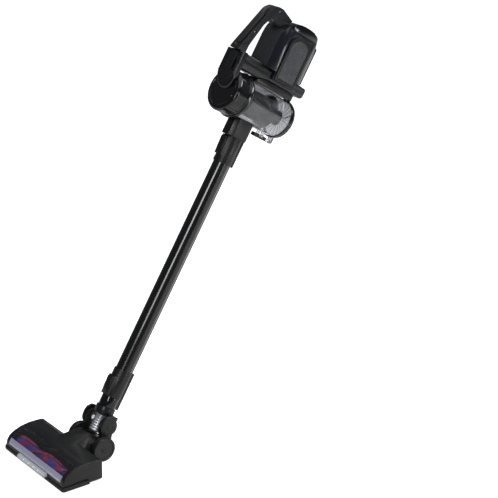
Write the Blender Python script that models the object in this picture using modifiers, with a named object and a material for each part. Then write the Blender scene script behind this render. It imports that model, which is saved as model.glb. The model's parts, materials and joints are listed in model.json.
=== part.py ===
"""Cordless stick vacuum: hand unit with a cyclone cup, wand, swivel neck and motor brush head.

Metres, +Z up, -Y is the front. The vacuum stands on its head and leans back.
The hand unit, the wand and the yoke are modelled in wand_frame: y runs up the wand
from the tilt axis, z points to the filter cap, x runs to the side. The head is
modelled in head_frame: z is the height over the floor.
"""
import math

import bmesh
import bpy
from mathutils import Matrix, Vector

# ---------------------------------------------------------------- driving dimensions
GAP = 0.0003                    # clearance between pieces that touch
WALL = 0.0024                   # wall of the moulded shells
LEAN = math.radians(31.3)       # the wand's lean from upright
ROUND = 40                      # sides of a large turned piece
SMALL_ROUND = 20                # sides of a small turned piece

TILT_Y = 0.0131                 # tilt axis behind the head frame's origin
TILT_Z = 0.071                  # tilt axis over the floor

CAP_TOP = 0.0880                 # cap top over the nozzle axis
CAP_HEIGHT = 0.0380
CAP_RADIUS = 0.0505
RING_RADIUS = 0.0530
RING_HEIGHT = 0.0105
CUP_TOP_RADIUS = 0.0470
CUP_BASE_RADIUS = 0.0437
CUP_BASE = -0.0990               # lower edge of the cup's wall
CUP_WALL = 0.0022
LID_THICKNESS = 0.004
RIM_HEIGHT = 0.008
RIM_RADIUS = 0.0465
FILTER_RADIUS = 0.031
FILTER_BASE = -0.034
SKIRT_RADIUS = 0.040
SKIRT_HEIGHT = 0.016
DUST_TUBE_RADIUS = 0.0177
DUST_TUBE_BASE = -0.090
PLEAT_RADIUS = 0.043
PLEATS = 20
LATCH_WIDTH = 0.013
LATCH_LENGTH = 0.044
LATCH_THICKNESS = 0.008
LATCH_TOP = -0.046
LATCH_STAND = 0.0515            # latch's inner face from the cup axis

DUCT_WIDTH = 0.040
DUCT_TOP = 0.029
DUCT_BASE = -0.024
DUCT_REACH = 0.085              # lower end of the duct from the cup axis
DUCT_BORE = 0.0155
RAIL_WIDTH = 0.022
RAIL_BASE = -0.0285

TUBE_RADIUS = 0.019
TUBE_WALL = 0.0012
TUBE_LENGTH = 0.574
TUBE_START = 0.098              # lower end of the tube from the tilt axis
CHANNEL_RADIUS = 0.0075
CHANNEL_OFFSET = 0.0185
SLEEVE_RADIUS = 0.0212
TUBE_TO_CUP = 0.112             # upper end of the tube to the cup axis
CUP_Y = TUBE_START + TUBE_LENGTH + TUBE_TO_CUP
TUBE_SEAT = 0.036               # depth of the tube inside the upper sleeve
UPPER_SLEEVE_START = TUBE_START + TUBE_LENGTH - TUBE_SEAT
LOWER_SLEEVE_START = 0.0617
LOWER_SLEEVE_LENGTH = 0.064
BUTTON_WIDTH = 0.018
BUTTON_LENGTH = 0.0415
BUTTON_HIGH = 0.0275
BUTTON_LOW = 0.0240
BUTTON_FLOOR = 0.0228

NECK_RADIUS = 0.0200
NECK_PLUG_RADIUS = 0.0172
NECK_BORE = 0.0145
NECK_TOP = 0.0965
NECK_SHOULDER = 0.036
JOURNAL_RADIUS = 0.0170
JOURNAL_END = 0.018
YOKE_RADIUS = 0.0225
YOKE_OUT = 0.040
YOKE_PLATE = 0.0067
YOKE_DISC = 0.021
EAR_PLATE = 0.0078
EAR_DISC = 0.0195
PIN_RADIUS = 0.005
HOSE_RADIUS = 0.0148
HOSE_RIBS = 7
HOSE_END = -0.024

SPINE_WIDTH = 0.044
SPINE_FRONT = 0.061             # from the cup axis
SPINE_NOSE = 0.0545              # front of the spine beside the cap
SPINE_REAR = 0.089
SPINE_BASE = -0.1160
BRACKET_WIDTH = 0.038
BRIDGE_WIDTH = 0.058
BRIDGE_TOP = 0.1025
POWER_BUTTON_LENGTH = 0.046
POWER_BUTTON_WIDTH = 0.021
POWER_BUTTON_Y = 0.0645         # centre of the power button from the cup axis
POWER_TRAVEL = 0.0015

HOUSING_WIDTH = 0.080
HOUSING_FRONT = 0.075           # from the cup axis
HOUSING_REAR = 0.204
HOUSING_TOP = 0.030
HOUSING_BASE = -0.089
CHAMFER_IN = 0.010              # slope of the housing's long upper edges
CHAMFER_DOWN = 0.022
BASE_IN = 0.016                 # slope of the housing's long lower edges
BASE_UP = 0.023
HOUSING_SPLIT = 0.1845           # where the rear cover starts
REAR_RADIUS = 0.050
VENT_FRONT = 0.066
VENT_REAR = 0.180
VENT_TOP = 0.002
VENT_BASE = -0.062
VENT_DEPTH = 0.0050
RAIL_BAR_WIDTH = 0.028
RAIL_BAR_HEIGHT = 0.0125
HANDLE_WIDTH = 0.030
GRIP_THICKNESS = 0.0025
GRIP_WIDTH = 0.018
MOTOR_RADIUS = 0.029
IMPELLER_RADIUS = 0.027
SHAFT_RADIUS = 0.003

HEAD_WIDTH = 0.242
HEAD_FRONT = -0.1575
HEAD_REAR = -0.057
HEAD_TOP = 0.0520
HEAD_CLEARANCE = 0.004          # shell's lower edge over the floor
WINDOW_WIDTH = HEAD_WIDTH - 0.024
WINDOW_THICKNESS = 0.0018
BUMPER_WIDTH = HEAD_WIDTH + 0.008
BUMPER_FRONT = -0.160
BUMPER_HEIGHT = 0.0085
BUMPER_CORNER = 0.006
LIGHT_BAR_WIDTH = 0.114
ROLLER_Y = -0.132
ROLLER_Z = 0.0190
ROLLER_RADIUS = 0.0135
ROLLER_LENGTH = HEAD_WIDTH - 0.042
ROLLER_SHAFT_RADIUS = 0.0035
SHAFT_END = HEAD_WIDTH / 2 - 0.0075       # ends of the roller's shaft from the middle
BEARING_X = HEAD_WIDTH / 2 - 0.0115
BRISTLE_REACH = 0.0180
ROLLER_PULLEY = 0.010
MOTOR_PULLEY = 0.005
BRUSH_MOTOR_Y = -0.082
BRUSH_MOTOR_Z = 0.025
BRUSH_MOTOR_RADIUS = 0.0130
WHEEL_RADIUS = 0.0280
WHEEL_WIDTH = 0.0140
WHEEL_INSIDE = 0.0415
WHEEL_Y = -0.009
AXLE_RADIUS = 0.004
FOOT_ROLLER_RADIUS = 0.005

FRONT_TO_ALONG = Matrix.Rotation(-math.pi / 2, 4, "X")      # local z becomes +Y
UP_TO_SIDE = Matrix.Rotation(math.pi / 2, 4, "Y")           # local z becomes +X
SIDE_PLANE = Matrix(((0, 0, 1, 0), (1, 0, 0, 0), (0, 1, 0, 0), (0, 0, 0, 1)))


# ---------------------------------------------------------------- scene and helpers
def start_scene():
    for old in list(bpy.data.objects):
        bpy.data.objects.remove(old, do_unlink=True)
    groups = {}
    for name in ("stick_vacuum", "cutters"):
        groups[name] = bpy.data.collections.new(name)
        bpy.context.scene.collection.children.link(groups[name])
    return groups


GROUPS = start_scene()


def material(name, color, roughness, metallic=0.0, alpha=1.0):
    made = bpy.data.materials.new(name)
    made.use_nodes = True
    shader = made.node_tree.nodes["Principled BSDF"]
    shader.inputs["Base Color"].default_value = (*color, 1.0)
    shader.inputs["Roughness"].default_value = roughness
    shader.inputs["Metallic"].default_value = metallic
    shader.inputs["Alpha"].default_value = alpha
    return made


SATIN = material("satin_black", (0.022, 0.023, 0.025), 0.42)
GLOSS = material("gloss_black", (0.008, 0.008, 0.009), 0.10)
GREY = material("dark_grey", (0.050, 0.054, 0.060), 0.45)
SMOKE = material("smoke_clear", (0.60, 0.60, 0.62), 0.06, alpha=0.3)
MESH = material("filter_grey", (0.16, 0.17, 0.18), 0.5)
RUBBER = material("soft_rubber", (0.02, 0.02, 0.02), 0.75)
STEEL = material("steel", (0.62, 0.62, 0.64), 0.25, metallic=1.0)
SILVER = material("silver_hose", (0.55, 0.56, 0.58), 0.3, metallic=0.6)
VIOLET = material("violet_roller", (0.13, 0.06, 0.42), 0.35)
BRISTLE = material("red_bristle", (0.45, 0.03, 0.06), 0.8)
PALE = material("pale_lens", (0.72, 0.72, 0.85), 0.2)
PAPER = material("filter_paper", (0.80, 0.80, 0.76), 0.9)
BOARD = material("green_board", (0.03, 0.20, 0.07), 0.5)
BATTERY = material("battery_blue", (0.05, 0.12, 0.30), 0.4)


def empty(name, location, parent=None, rotation=(0, 0, 0)):
    made = bpy.data.objects.new(name, None)
    made.location = location
    made.rotation_euler = rotation
    made.parent = parent
    GROUPS["stick_vacuum"].objects.link(made)
    return made


ORIGIN = empty("vacuum_origin", (0, 0, 0))
WAND = empty("wand_frame", (0, TILT_Y, TILT_Z), ORIGIN, (math.pi / 2 - LEAN, 0, 0))
HEAD = empty("head_frame", (0, 0, 0), ORIGIN)


def from_bmesh(bm, name):
    mesh = bpy.data.meshes.new(name)
    bm.normal_update()
    bm.to_mesh(mesh)
    bm.free()
    return bpy.data.objects.new(name, mesh)


def node(obj, name, skin, frame, origin=None):
    """Make obj a named piece of the vacuum, with its origin moved to the joint's axis."""
    obj.name = name
    obj.data.name = name
    obj.data.materials.clear()
    obj.data.materials.append(skin)
    obj.parent = frame
    if origin is not None:
        place = Vector(origin)
        obj.data.transform(Matrix.Translation(-place))
        obj.location = place
    GROUPS["stick_vacuum"].objects.link(obj)
    obj.data.shade_smooth()
    obj.data.set_sharp_from_angle(angle=math.radians(32))
    return obj


def tool(obj, frame):
    """Make obj a cutter or an addition that a Boolean modifier reads."""
    obj.parent = frame
    obj.hide_render = True
    obj.display_type = "WIRE"
    GROUPS["cutters"].objects.link(obj)
    return obj


def boolean(target, other, operation="DIFFERENCE"):
    if not other.users_collection:
        tool(other, target.parent)
    step = target.modifiers.new(operation.lower(), "BOOLEAN")
    step.operation = operation
    step.solver = "EXACT"
    step.object = other
    return target


def cut(target, *others):
    for other in others:
        boolean(target, other)
    return target


def join(target, *others):
    for other in others:
        boolean(target, other, "UNION")
    return target


def bevel(obj, width, segments=2, angle=40):
    step = obj.modifiers.new("rounded_edges", "BEVEL")
    step.width = width
    step.segments = segments
    step.limit_method = "ANGLE"
    step.angle_limit = math.radians(angle)
    return obj


def block(low, high):
    bm = bmesh.new()
    bmesh.ops.create_cube(bm, size=1.0)
    size = [high[i] - low[i] for i in range(3)]
    middle = [(high[i] + low[i]) / 2 for i in range(3)]
    place = Matrix.Translation(middle) @ Matrix.Diagonal((*size, 1.0))
    bmesh.ops.transform(bm, matrix=place, verts=bm.verts)
    return from_bmesh(bm, "block")


def rod(radius, start, end, sides=SMALL_ROUND, end_radius=None):
    """A cylinder or cone from start to end."""
    first, last = Vector(start), Vector(end)
    span = last - first
    bm = bmesh.new()
    bmesh.ops.create_cone(bm, cap_ends=True, segments=sides, radius1=radius,
                          radius2=radius if end_radius is None else end_radius,
                          depth=span.length)
    turn = span.to_track_quat("Z", "Y").to_matrix().to_4x4()
    bmesh.ops.transform(bm, matrix=Matrix.Translation((first + last) / 2) @ turn, verts=bm.verts)
    return from_bmesh(bm, "rod")


def hull(points):
    bm = bmesh.new()
    for point in points:
        bm.verts.new(point)
    made = bmesh.ops.convex_hull(bm, input=bm.verts)
    spare = {v for v in made["geom_interior"] + made["geom_unused"] if isinstance(v, bmesh.types.BMVert)}
    bmesh.ops.delete(bm, geom=list(spare), context="VERTS")
    bmesh.ops.recalc_face_normals(bm, faces=bm.faces)
    return from_bmesh(bm, "hull")


def turned(profile, sides=ROUND, place=Matrix.Identity(4), closed=True):
    """Turn a profile of (radius, height) about local z: the outer side runs downwards."""
    mesh = bpy.data.meshes.new("turned")
    count = len(profile)
    edges = [(i, i + 1) for i in range(count - 1)]
    if closed:
        edges.append((count - 1, 0))
    mesh.from_pydata([(radius, 0, height) for radius, height in profile], edges, [])
    obj = bpy.data.objects.new("turned", mesh)
    obj.matrix_basis = place
    screw = obj.modifiers.new("turned", "SCREW")
    screw.axis = "Z"
    screw.steps = sides
    screw.render_steps = sides
    screw.use_merge_vertices = True
    screw.merge_threshold = 1e-5
    screw.use_smooth_shade = True
    return obj


def ring(outer, inner, low, high, sides=ROUND, place=Matrix.Identity(4)):
    return turned([(outer, high), (outer, low), (inner, low), (inner, high)], sides, place)


def rounded(points, radius, steps=4):
    """Fillet a polygon's corners: radius is one number or one for each corner."""
    made = []
    count = len(points)
    for i, point in enumerate(points):
        size = radius[i] if isinstance(radius, (list, tuple)) else radius
        corner = Vector(point)
        back = Vector(points[i - 1]) - corner
        ahead = Vector(points[(i + 1) % count]) - corner
        if size <= 0:
            made.append(tuple(corner))
            continue
        half = back.angle(ahead) / 2
        reach = min(size / math.tan(half), back.length * 0.48, ahead.length * 0.48)
        size = reach * math.tan(half)
        middle = corner + (back.normalized() + ahead.normalized()).normalized() * (size / math.sin(half))
        first = corner + back.normalized() * reach - middle
        last = corner + ahead.normalized() * reach - middle
        sweep = first.angle_signed(last)
        for k in range(steps + 1):
            turn = Matrix.Rotation(-sweep * k / steps, 2)
            made.append(tuple(middle + turn @ first))
    return made


def plate(outline, thickness, place=Matrix.Identity(4), middle=0.0):
    """Extrude a flat outline both ways along local z, then put it in place."""
    curve = bpy.data.curves.new("outline", "CURVE")
    curve.dimensions = "2D"
    curve.fill_mode = "BOTH"
    curve.extrude = thickness / 2
    spline = curve.splines.new("POLY")
    spline.points.add(len(outline) - 1)
    for point, (across, up) in zip(spline.points, outline):
        point.co = (across, up, 0, 1)
    spline.use_cyclic_u = True
    flat = bpy.data.objects.new("outline", curve)
    bpy.context.scene.collection.objects.link(flat)
    bpy.context.view_layer.update()
    evaluated = flat.evaluated_get(bpy.context.evaluated_depsgraph_get())
    mesh = bpy.data.meshes.new_from_object(evaluated)
    bm = bmesh.new()
    bm.from_mesh(mesh)
    bmesh.ops.remove_doubles(bm, verts=bm.verts, dist=1e-6)
    bmesh.ops.transform(bm, matrix=place @ Matrix.Translation((0, 0, middle)), verts=bm.verts)
    bmesh.ops.recalc_face_normals(bm, faces=bm.faces)
    bpy.data.objects.remove(flat)
    return from_bmesh(bm, "plate")


def side_plate(outline, low, high):
    """A plate whose outline is (y, z) and whose thickness runs from x = low to high."""
    return plate(outline, high - low, SIDE_PLANE, (low + high) / 2)


def along(y, z=0.0):
    """Place a turned piece with its axis up the wand."""
    return Matrix.Translation((0, y, z)) @ FRONT_TO_ALONG


# ---------------------------------------------------------------- cyclone cup
CAP_BASE = CAP_TOP - CAP_HEIGHT
RING_TOP = CAP_BASE - GAP
RING_BASE = RING_TOP - RING_HEIGHT
CUP_PLACE = Matrix.Translation((0, CUP_Y, 0))


def cup_radius(height):
    """Outer radius of the cup's tapered wall."""
    share = (height - CUP_BASE) / (RING_BASE - CUP_BASE)
    return CUP_BASE_RADIUS + (CUP_TOP_RADIUS - CUP_BASE_RADIUS) * min(share, 1.0)


def make_cap():
    inner = CAP_RADIUS - WALL
    fillet = 0.004
    profile = [(0, CAP_TOP), (CAP_RADIUS - fillet, CAP_TOP), (CAP_RADIUS - 0.0012, CAP_TOP - 0.0012),
               (CAP_RADIUS, CAP_TOP - fillet), (CAP_RADIUS, CAP_BASE), (inner, CAP_BASE),
               (inner, CAP_TOP - WALL), (0, CAP_TOP - WALL)]
    node(turned(profile, ROUND, CUP_PLACE, closed=False), "filter_cap", GLOSS, WAND)
    collar_inner = CUP_TOP_RADIUS + GAP
    profile = [(CAP_RADIUS, RING_TOP), (RING_RADIUS, RING_TOP - 0.003), (RING_RADIUS, RING_BASE + 0.003),
               (RING_RADIUS - 0.003, RING_BASE), (collar_inner, RING_BASE), (collar_inner, RING_TOP)]
    node(turned(profile, ROUND, CUP_PLACE), "collar_ring", GLOSS, WAND)


def make_pleated_filter():
    outline = []
    for i in range(PLEATS * 2):
        reach = PLEAT_RADIUS - (0.006 if i % 2 else 0.0)
        angle = math.pi * i / PLEATS
        outline.append((reach * math.cos(angle), CUP_Y + reach * math.sin(angle)))
    low, high = CAP_BASE + 0.003, CAP_TOP - WALL - 0.003
    pleats = plate(outline, high - low, middle=(low + high) / 2)
    cut(pleats, tool(rod(0.018, (0, CUP_Y, low - 0.01), (0, CUP_Y, high + 0.01)), WAND))
    node(pleats, "pleated_filter", PAPER, WAND)


def make_cup():
    top = RING_TOP
    slope_top = (cup_radius(RING_BASE), RING_BASE)
    wall = CUP_WALL
    profile = [(CUP_TOP_RADIUS, top), slope_top, (CUP_BASE_RADIUS, CUP_BASE),
               (CUP_BASE_RADIUS - wall, CUP_BASE), (slope_top[0] - wall, RING_BASE),
               (CUP_TOP_RADIUS - wall, top)]
    cup = turned(profile, ROUND, CUP_PLACE)
    lug_out = CUP_Y - LATCH_STAND - LATCH_THICKNESS * 0.6
    lug_in = CUP_Y - cup_radius(LATCH_PIVOT_Z) + CUP_WALL * 0.6
    for side in (-1, 1):
        inside = LATCH_WIDTH / 2 + GAP
        edges = sorted((side * inside, side * (inside + 0.003)))
        lug = block((edges[0], lug_out, LATCH_PIVOT_Z - 0.005), (edges[1], lug_in, LATCH_PIVOT_Z + 0.005))
        join(cup, tool(lug, WAND))
    node(cup, "dust_cup", SMOKE, WAND)
    half = DUCT_WIDTH / 2 + GAP
    cut(cup, tool(block((-half, CUP_Y - 0.06, DUCT_BASE - GAP), (half, CUP_Y - 0.03, DUCT_TOP + GAP)), WAND))
    reach = LATCH_WIDTH / 2 + 0.010
    cut(cup, tool(rod(0.0015 + GAP, (-reach, LATCH_PIVOT_Y, LATCH_PIVOT_Z), (reach, LATCH_PIVOT_Y, LATCH_PIVOT_Z)),
                  WAND))


def make_cyclone():
    flange = CUP_TOP_RADIUS - CUP_WALL - GAP
    wall = 0.0016
    top = RING_TOP
    profile = [(flange, top), (flange, top - 0.002), (FILTER_RADIUS, top - 0.002),
               (FILTER_RADIUS, FILTER_BASE), (FILTER_RADIUS - wall, FILTER_BASE),
               (FILTER_RADIUS - wall, top)]
    node(turned(profile, ROUND, CUP_PLACE), "mesh_filter", MESH, WAND)
    top = FILTER_BASE - GAP
    base = top - SKIRT_HEIGHT
    neck = DUST_TUBE_RADIUS + GAP
    profile = [(FILTER_RADIUS, top), (SKIRT_RADIUS, base + 0.004), (SKIRT_RADIUS, base),
               (SKIRT_RADIUS - 0.002, base), (SKIRT_RADIUS - 0.002, base + 0.003),
               (FILTER_RADIUS - 0.001, top - 0.0025), (neck, top - 0.0025), (neck, top)]
    node(turned(profile, ROUND, CUP_PLACE), "cyclone_skirt", MESH, WAND)
    tube = ring(DUST_TUBE_RADIUS, DUST_TUBE_RADIUS - 0.002, DUST_TUBE_BASE, top, ROUND, CUP_PLACE)
    node(tube, "vortex_tube", MESH, WAND)


LID_TOP = CUP_BASE - GAP
LID_BASE = LID_TOP - LID_THICKNESS
LATCH_PIVOT_Y = CUP_Y - LATCH_STAND - LATCH_THICKNESS * 0.35
LATCH_PIVOT_Z = LATCH_TOP - LATCH_LENGTH * 0.45
HINGE_Y = CUP_Y + RIM_RADIUS + GAP + 0.0027
HINGE_Z = CUP_BASE + 0.001
HINGE_PIN = 0.0013


def make_lid():
    rim_base = CUP_BASE + 0.0005
    rim = ring(RIM_RADIUS, CUP_BASE_RADIUS + 0.0004, rim_base, rim_base + RIM_HEIGHT, ROUND, CUP_PLACE)
    for side in (-1, 1):
        edges = sorted((side * 0.0053, side * 0.0095))
        ear = block((edges[0], CUP_Y + CUP_BASE_RADIUS + 0.0012, rim_base),
                    (edges[1], HINGE_Y + 0.0028, rim_base + 0.0055))
        join(rim, tool(ear, WAND))
    node(rim, "cup_rim", GLOSS, WAND)
    cut(rim, tool(rod(HINGE_PIN + GAP, (-0.02, HINGE_Y, HINGE_Z + 0.002), (0.02, HINGE_Y, HINGE_Z + 0.002)), WAND))
    node(rod(HINGE_PIN, (-0.0092, 0, 0), (0.0092, 0, 0)), "lid_hinge_pin", STEEL, WAND)
    bpy.data.objects["lid_hinge_pin"].location = (0, HINGE_Y, HINGE_Z + 0.002)

    lid = rod(CUP_BASE_RADIUS + 0.0006, (0, CUP_Y, LID_BASE), (0, CUP_Y, LID_TOP), ROUND)
    tab_out = CUP_Y - LATCH_STAND - LATCH_THICKNESS
    tab = block((-0.0075, tab_out, LID_BASE), (0.0075, CUP_Y - CUP_BASE_RADIUS + 0.003, LID_TOP))
    knuckle = block((-0.005, CUP_Y + CUP_BASE_RADIUS - 0.003, LID_BASE), (0.005, HINGE_Y + 0.0028, LID_TOP))
    knuckle_web = block((-0.005, HINGE_Y, LID_TOP - 0.001), (0.005, HINGE_Y + 0.0026, HINGE_Z + 0.002))
    barrel = rod(0.0026, (-0.005, HINGE_Y, HINGE_Z + 0.002), (0.005, HINGE_Y, HINGE_Z + 0.002))
    node(lid, "base_lid", SMOKE, WAND, (0, HINGE_Y, HINGE_Z + 0.002))
    join(lid, tool(tab, WAND), tool(knuckle, WAND), tool(knuckle_web, WAND), tool(barrel, WAND))
    cut(lid, tool(rod(HINGE_PIN + GAP, (-0.02, HINGE_Y, HINGE_Z + 0.002), (0.02, HINGE_Y, HINGE_Z + 0.002)), WAND))


def make_latch():
    inner = CUP_Y - LATCH_STAND
    outer = inner - LATCH_THICKNESS
    low = LATCH_TOP - LATCH_LENGTH
    hook = LID_TOP + GAP
    outline = [(outer, LATCH_TOP), (outer, hook), (inner - 0.0015, hook), (inner - 0.0015, low),
               (inner, low + 0.003), (inner, LATCH_TOP)]
    latch = side_plate(outline, -LATCH_WIDTH / 2, LATCH_WIDTH / 2)
    node(latch, "cup_latch", SATIN, WAND, (0, LATCH_PIVOT_Y, LATCH_PIVOT_Z))
    hole = 0.0015 + GAP
    cut(latch, tool(rod(hole, (-0.02, LATCH_PIVOT_Y, LATCH_PIVOT_Z), (0.02, LATCH_PIVOT_Y, LATCH_PIVOT_Z)), WAND))
    half = LATCH_WIDTH / 2 + 0.003
    pin = rod(0.0015, (-half, LATCH_PIVOT_Y, LATCH_PIVOT_Z), (half, LATCH_PIVOT_Y, LATCH_PIVOT_Z))
    node(pin, "latch_pin", STEEL, WAND)


# ---------------------------------------------------------------- duct, sleeves and wand
DUCT_END = CUP_Y - DUCT_REACH
UPPER_SLEEVE_END = DUCT_END - GAP
TUBE_END = TUBE_START + TUBE_LENGTH
LOWER_SLEEVE_END = LOWER_SLEEVE_START + LOWER_SLEEVE_LENGTH


def contact_rail(start, end):
    half = RAIL_WIDTH / 2
    corner = 0.003
    outline = [(-half, -0.012), (-half, RAIL_BASE + corner), (-half + corner, RAIL_BASE),
               (half - corner, RAIL_BASE), (half, RAIL_BASE + corner), (half, -0.012)]
    flat = Matrix(((1, 0, 0, 0), (0, 0, -1, 0), (0, 1, 0, 0), (0, 0, 0, 1)))
    return plate(outline, end - start, Matrix.Translation((0, (start + end) / 2, 0)) @ flat)


def make_duct():
    half = DUCT_WIDTH / 2
    inside = CUP_Y - 0.0395
    chamfer = 0.009
    outline = [(-half, DUCT_BASE + 0.004), (-half + 0.004, DUCT_BASE), (half - 0.004, DUCT_BASE),
               (half, DUCT_BASE + 0.004), (half, DUCT_TOP - chamfer), (half - chamfer, DUCT_TOP),
               (-half + chamfer, DUCT_TOP), (-half, DUCT_TOP - chamfer)]
    flat = Matrix(((1, 0, 0, 0), (0, 0, -1, 0), (0, 1, 0, 0), (0, 0, 0, 1)))
    duct = plate(outline, inside - DUCT_END, Matrix.Translation((0, (inside + DUCT_END) / 2, 0)) @ flat)
    join(duct, tool(contact_rail(DUCT_END, CUP_Y - 0.055), WAND))
    cut(duct, tool(rod(DUCT_BORE, (0, DUCT_END - 0.01, 0), (0, inside + 0.01, 0), 28), WAND))
    node(duct, "inlet_duct", SATIN, WAND)


def button_frame(sleeve, start):
    """Raise a frame round a release button on a sleeve, and sink its pocket."""
    half = BUTTON_WIDTH / 2
    frame = block((-half - 0.002, start - 0.0018, 0.012), (half + 0.002, start + BUTTON_LENGTH + 0.0025, 0.0238))
    pocket = block((-half - GAP, start - GAP, 0.0203),
                   (half + GAP, start + BUTTON_LENGTH + GAP, 0.030))
    return join(sleeve, tool(frame, WAND)), tool(pocket, WAND)


def release_button(name, start):
    end = start + BUTTON_LENGTH
    outline = [(start, BUTTON_FLOOR), (end, BUTTON_FLOOR), (end, BUTTON_HIGH - 0.002),
               (end - 0.003, BUTTON_HIGH), (start + 0.012, BUTTON_HIGH - 0.001), (start, BUTTON_LOW)]
    button = side_plate(outline, -BUTTON_WIDTH / 2, BUTTON_WIDTH / 2)
    node(button, name, SATIN, WAND, (0, (start + end) / 2, BUTTON_FLOOR))


def channel(start, end, extra=0.0):
    """The round rib at the back of the tube that carries the wires."""
    return tool(rod(CHANNEL_RADIUS + extra, (0, start, -CHANNEL_OFFSET), (0, end, -CHANNEL_OFFSET), 16), WAND)


UPPER_BUTTON_START = UPPER_SLEEVE_START + 0.0175
LOWER_BUTTON_START = LOWER_SLEEVE_START + 0.0020


def make_upper_sleeve():
    start, end = UPPER_SLEEVE_START, UPPER_SLEEVE_END
    sleeve = rod(SLEEVE_RADIUS, (0, start, 0), (0, end, 0), ROUND)
    join(sleeve, tool(contact_rail(start, end), WAND))
    sleeve, pocket = button_frame(sleeve, UPPER_BUTTON_START)
    cut(sleeve, pocket)
    cut(sleeve, tool(rod(TUBE_RADIUS + GAP, (0, start - 0.01, 0), (0, TUBE_END + GAP, 0), ROUND), WAND))
    cut(sleeve, tool(rod(DUCT_BORE, (0, start - 0.01, 0), (0, end + 0.01, 0), 28), WAND))
    cut(sleeve, channel(start - 0.01, TUBE_END + GAP, GAP))
    node(sleeve, "upper_sleeve", SATIN, WAND)
    release_button("upper_release_button", UPPER_BUTTON_START)


def make_wand():
    tube = rod(TUBE_RADIUS, (0, TUBE_START, 0), (0, TUBE_END, 0), ROUND)
    join(tube, channel(TUBE_START, TUBE_END))
    cut(tube, tool(rod(TUBE_RADIUS - TUBE_WALL, (0, TUBE_START - 0.01, 0), (0, TUBE_END + 0.01, 0), ROUND), WAND))
    node(tube, "wand_tube", GLOSS, WAND)


def make_lower_sleeve():
    start, end = LOWER_SLEEVE_START, LOWER_SLEEVE_END
    sleeve = rod(SLEEVE_RADIUS, (0, start, 0), (0, end, 0), ROUND)
    join(sleeve, tool(contact_rail(start, end), WAND))
    sleeve, pocket = button_frame(sleeve, LOWER_BUTTON_START)
    cut(sleeve, pocket)
    cut(sleeve, tool(rod(TUBE_RADIUS + GAP, (0, TUBE_START - GAP, 0), (0, end + 0.01, 0), ROUND), WAND))
    cut(sleeve, tool(rod(NECK_PLUG_RADIUS + GAP, (0, start - 0.01, 0), (0, end, 0), ROUND), WAND))
    cut(sleeve, channel(TUBE_START - GAP, end + 0.01, GAP))
    node(sleeve, "lower_sleeve", SATIN, WAND)
    release_button("lower_release_button", LOWER_BUTTON_START)


# ---------------------------------------------------------------- neck
def make_neck():
    top, shoulder = LOWER_SLEEVE_START - GAP, NECK_SHOULDER
    profile = [(NECK_PLUG_RADIUS, NECK_TOP), (NECK_PLUG_RADIUS, top), (NECK_RADIUS, top),
               (NECK_RADIUS, shoulder), (JOURNAL_RADIUS, shoulder), (JOURNAL_RADIUS, JOURNAL_END),
               (NECK_BORE, JOURNAL_END), (NECK_BORE, NECK_TOP)]
    tube = turned(profile, ROUND, along(0))
    join(tube, tool(contact_rail(shoulder + 0.001, top), WAND))
    cut(tube, tool(rod(NECK_BORE, (0, 0, 0), (0, NECK_TOP + 0.01, 0), ROUND), WAND))
    node(tube, "neck_tube", GLOSS, WAND)


def make_yoke():
    collar_top = NECK_SHOULDER - GAP
    yoke = rod(YOKE_RADIUS, (0, JOURNAL_END + 0.001, 0), (0, collar_top, 0), ROUND)
    inner = YOKE_OUT - YOKE_PLATE
    disc = [(YOKE_DISC * math.cos(math.radians(a)), YOKE_DISC * math.sin(math.radians(a)))
            for a in range(105, 351, 15)]
    outline = [(0.0255, -0.012), (0.0255, 0.009), (0.018, 0.0180), (0.008, 0.0215)] + disc
    cross = block((-YOKE_OUT + 0.001, 0.010, -0.0130), (YOKE_OUT - 0.001, 0.0250, -0.001))
    right_plate = side_plate(outline, inner, YOKE_OUT)
    left_plate = side_plate(outline, -YOKE_OUT, -inner)
    join(yoke, tool(cross, WAND), tool(right_plate, WAND), tool(left_plate, WAND))
    cut(yoke, tool(rod(JOURNAL_RADIUS + GAP, (0, -0.03, 0), (0, 0.05, 0), ROUND), WAND))
    room = EAR_DISC + 0.0012
    ear_room = inner - 0.0002
    cut(yoke, tool(rod(room, (-ear_room, 0, 0), (ear_room, 0, 0), ROUND), WAND))
    cut(yoke, tool(rod(PIN_RADIUS + GAP, (-0.06, 0, 0), (0.06, 0, 0), SMALL_ROUND), WAND))
    node(yoke, "neck_yoke", SATIN, WAND, (0, 0, 0))
    for side, name in ((-1, "tilt_pin_left"), (1, "tilt_pin_right")):
        inside = side * (inner - EAR_PLATE + 0.0005)
        node(rod(PIN_RADIUS, (inside, 0, 0), (side * (YOKE_OUT - 0.0008), 0, 0)), name, STEEL, WAND)


def make_hose():
    top, low = JOURNAL_END - GAP, HOSE_END
    pitch = (top - low) / HOSE_RIBS
    outer, inner = [], []
    for i in range(HOSE_RIBS):
        level = top - pitch * i
        outer += [(HOSE_RADIUS - 0.002, level), (HOSE_RADIUS, level - pitch * 0.5)]
        inner += [(HOSE_RADIUS - 0.0032, level), (HOSE_RADIUS - 0.0012, level - pitch * 0.5)]
    outer.append((HOSE_RADIUS - 0.002, low))
    inner.append((HOSE_RADIUS - 0.0032, low))
    node(turned(outer + inner[::-1], 20, along(0)), "flex_hose", SILVER, WAND)


# ---------------------------------------------------------------- spine, bridge and handle
def hand(y):
    """Distance behind the cup axis as a wand_frame y."""
    return CUP_Y + y


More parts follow.
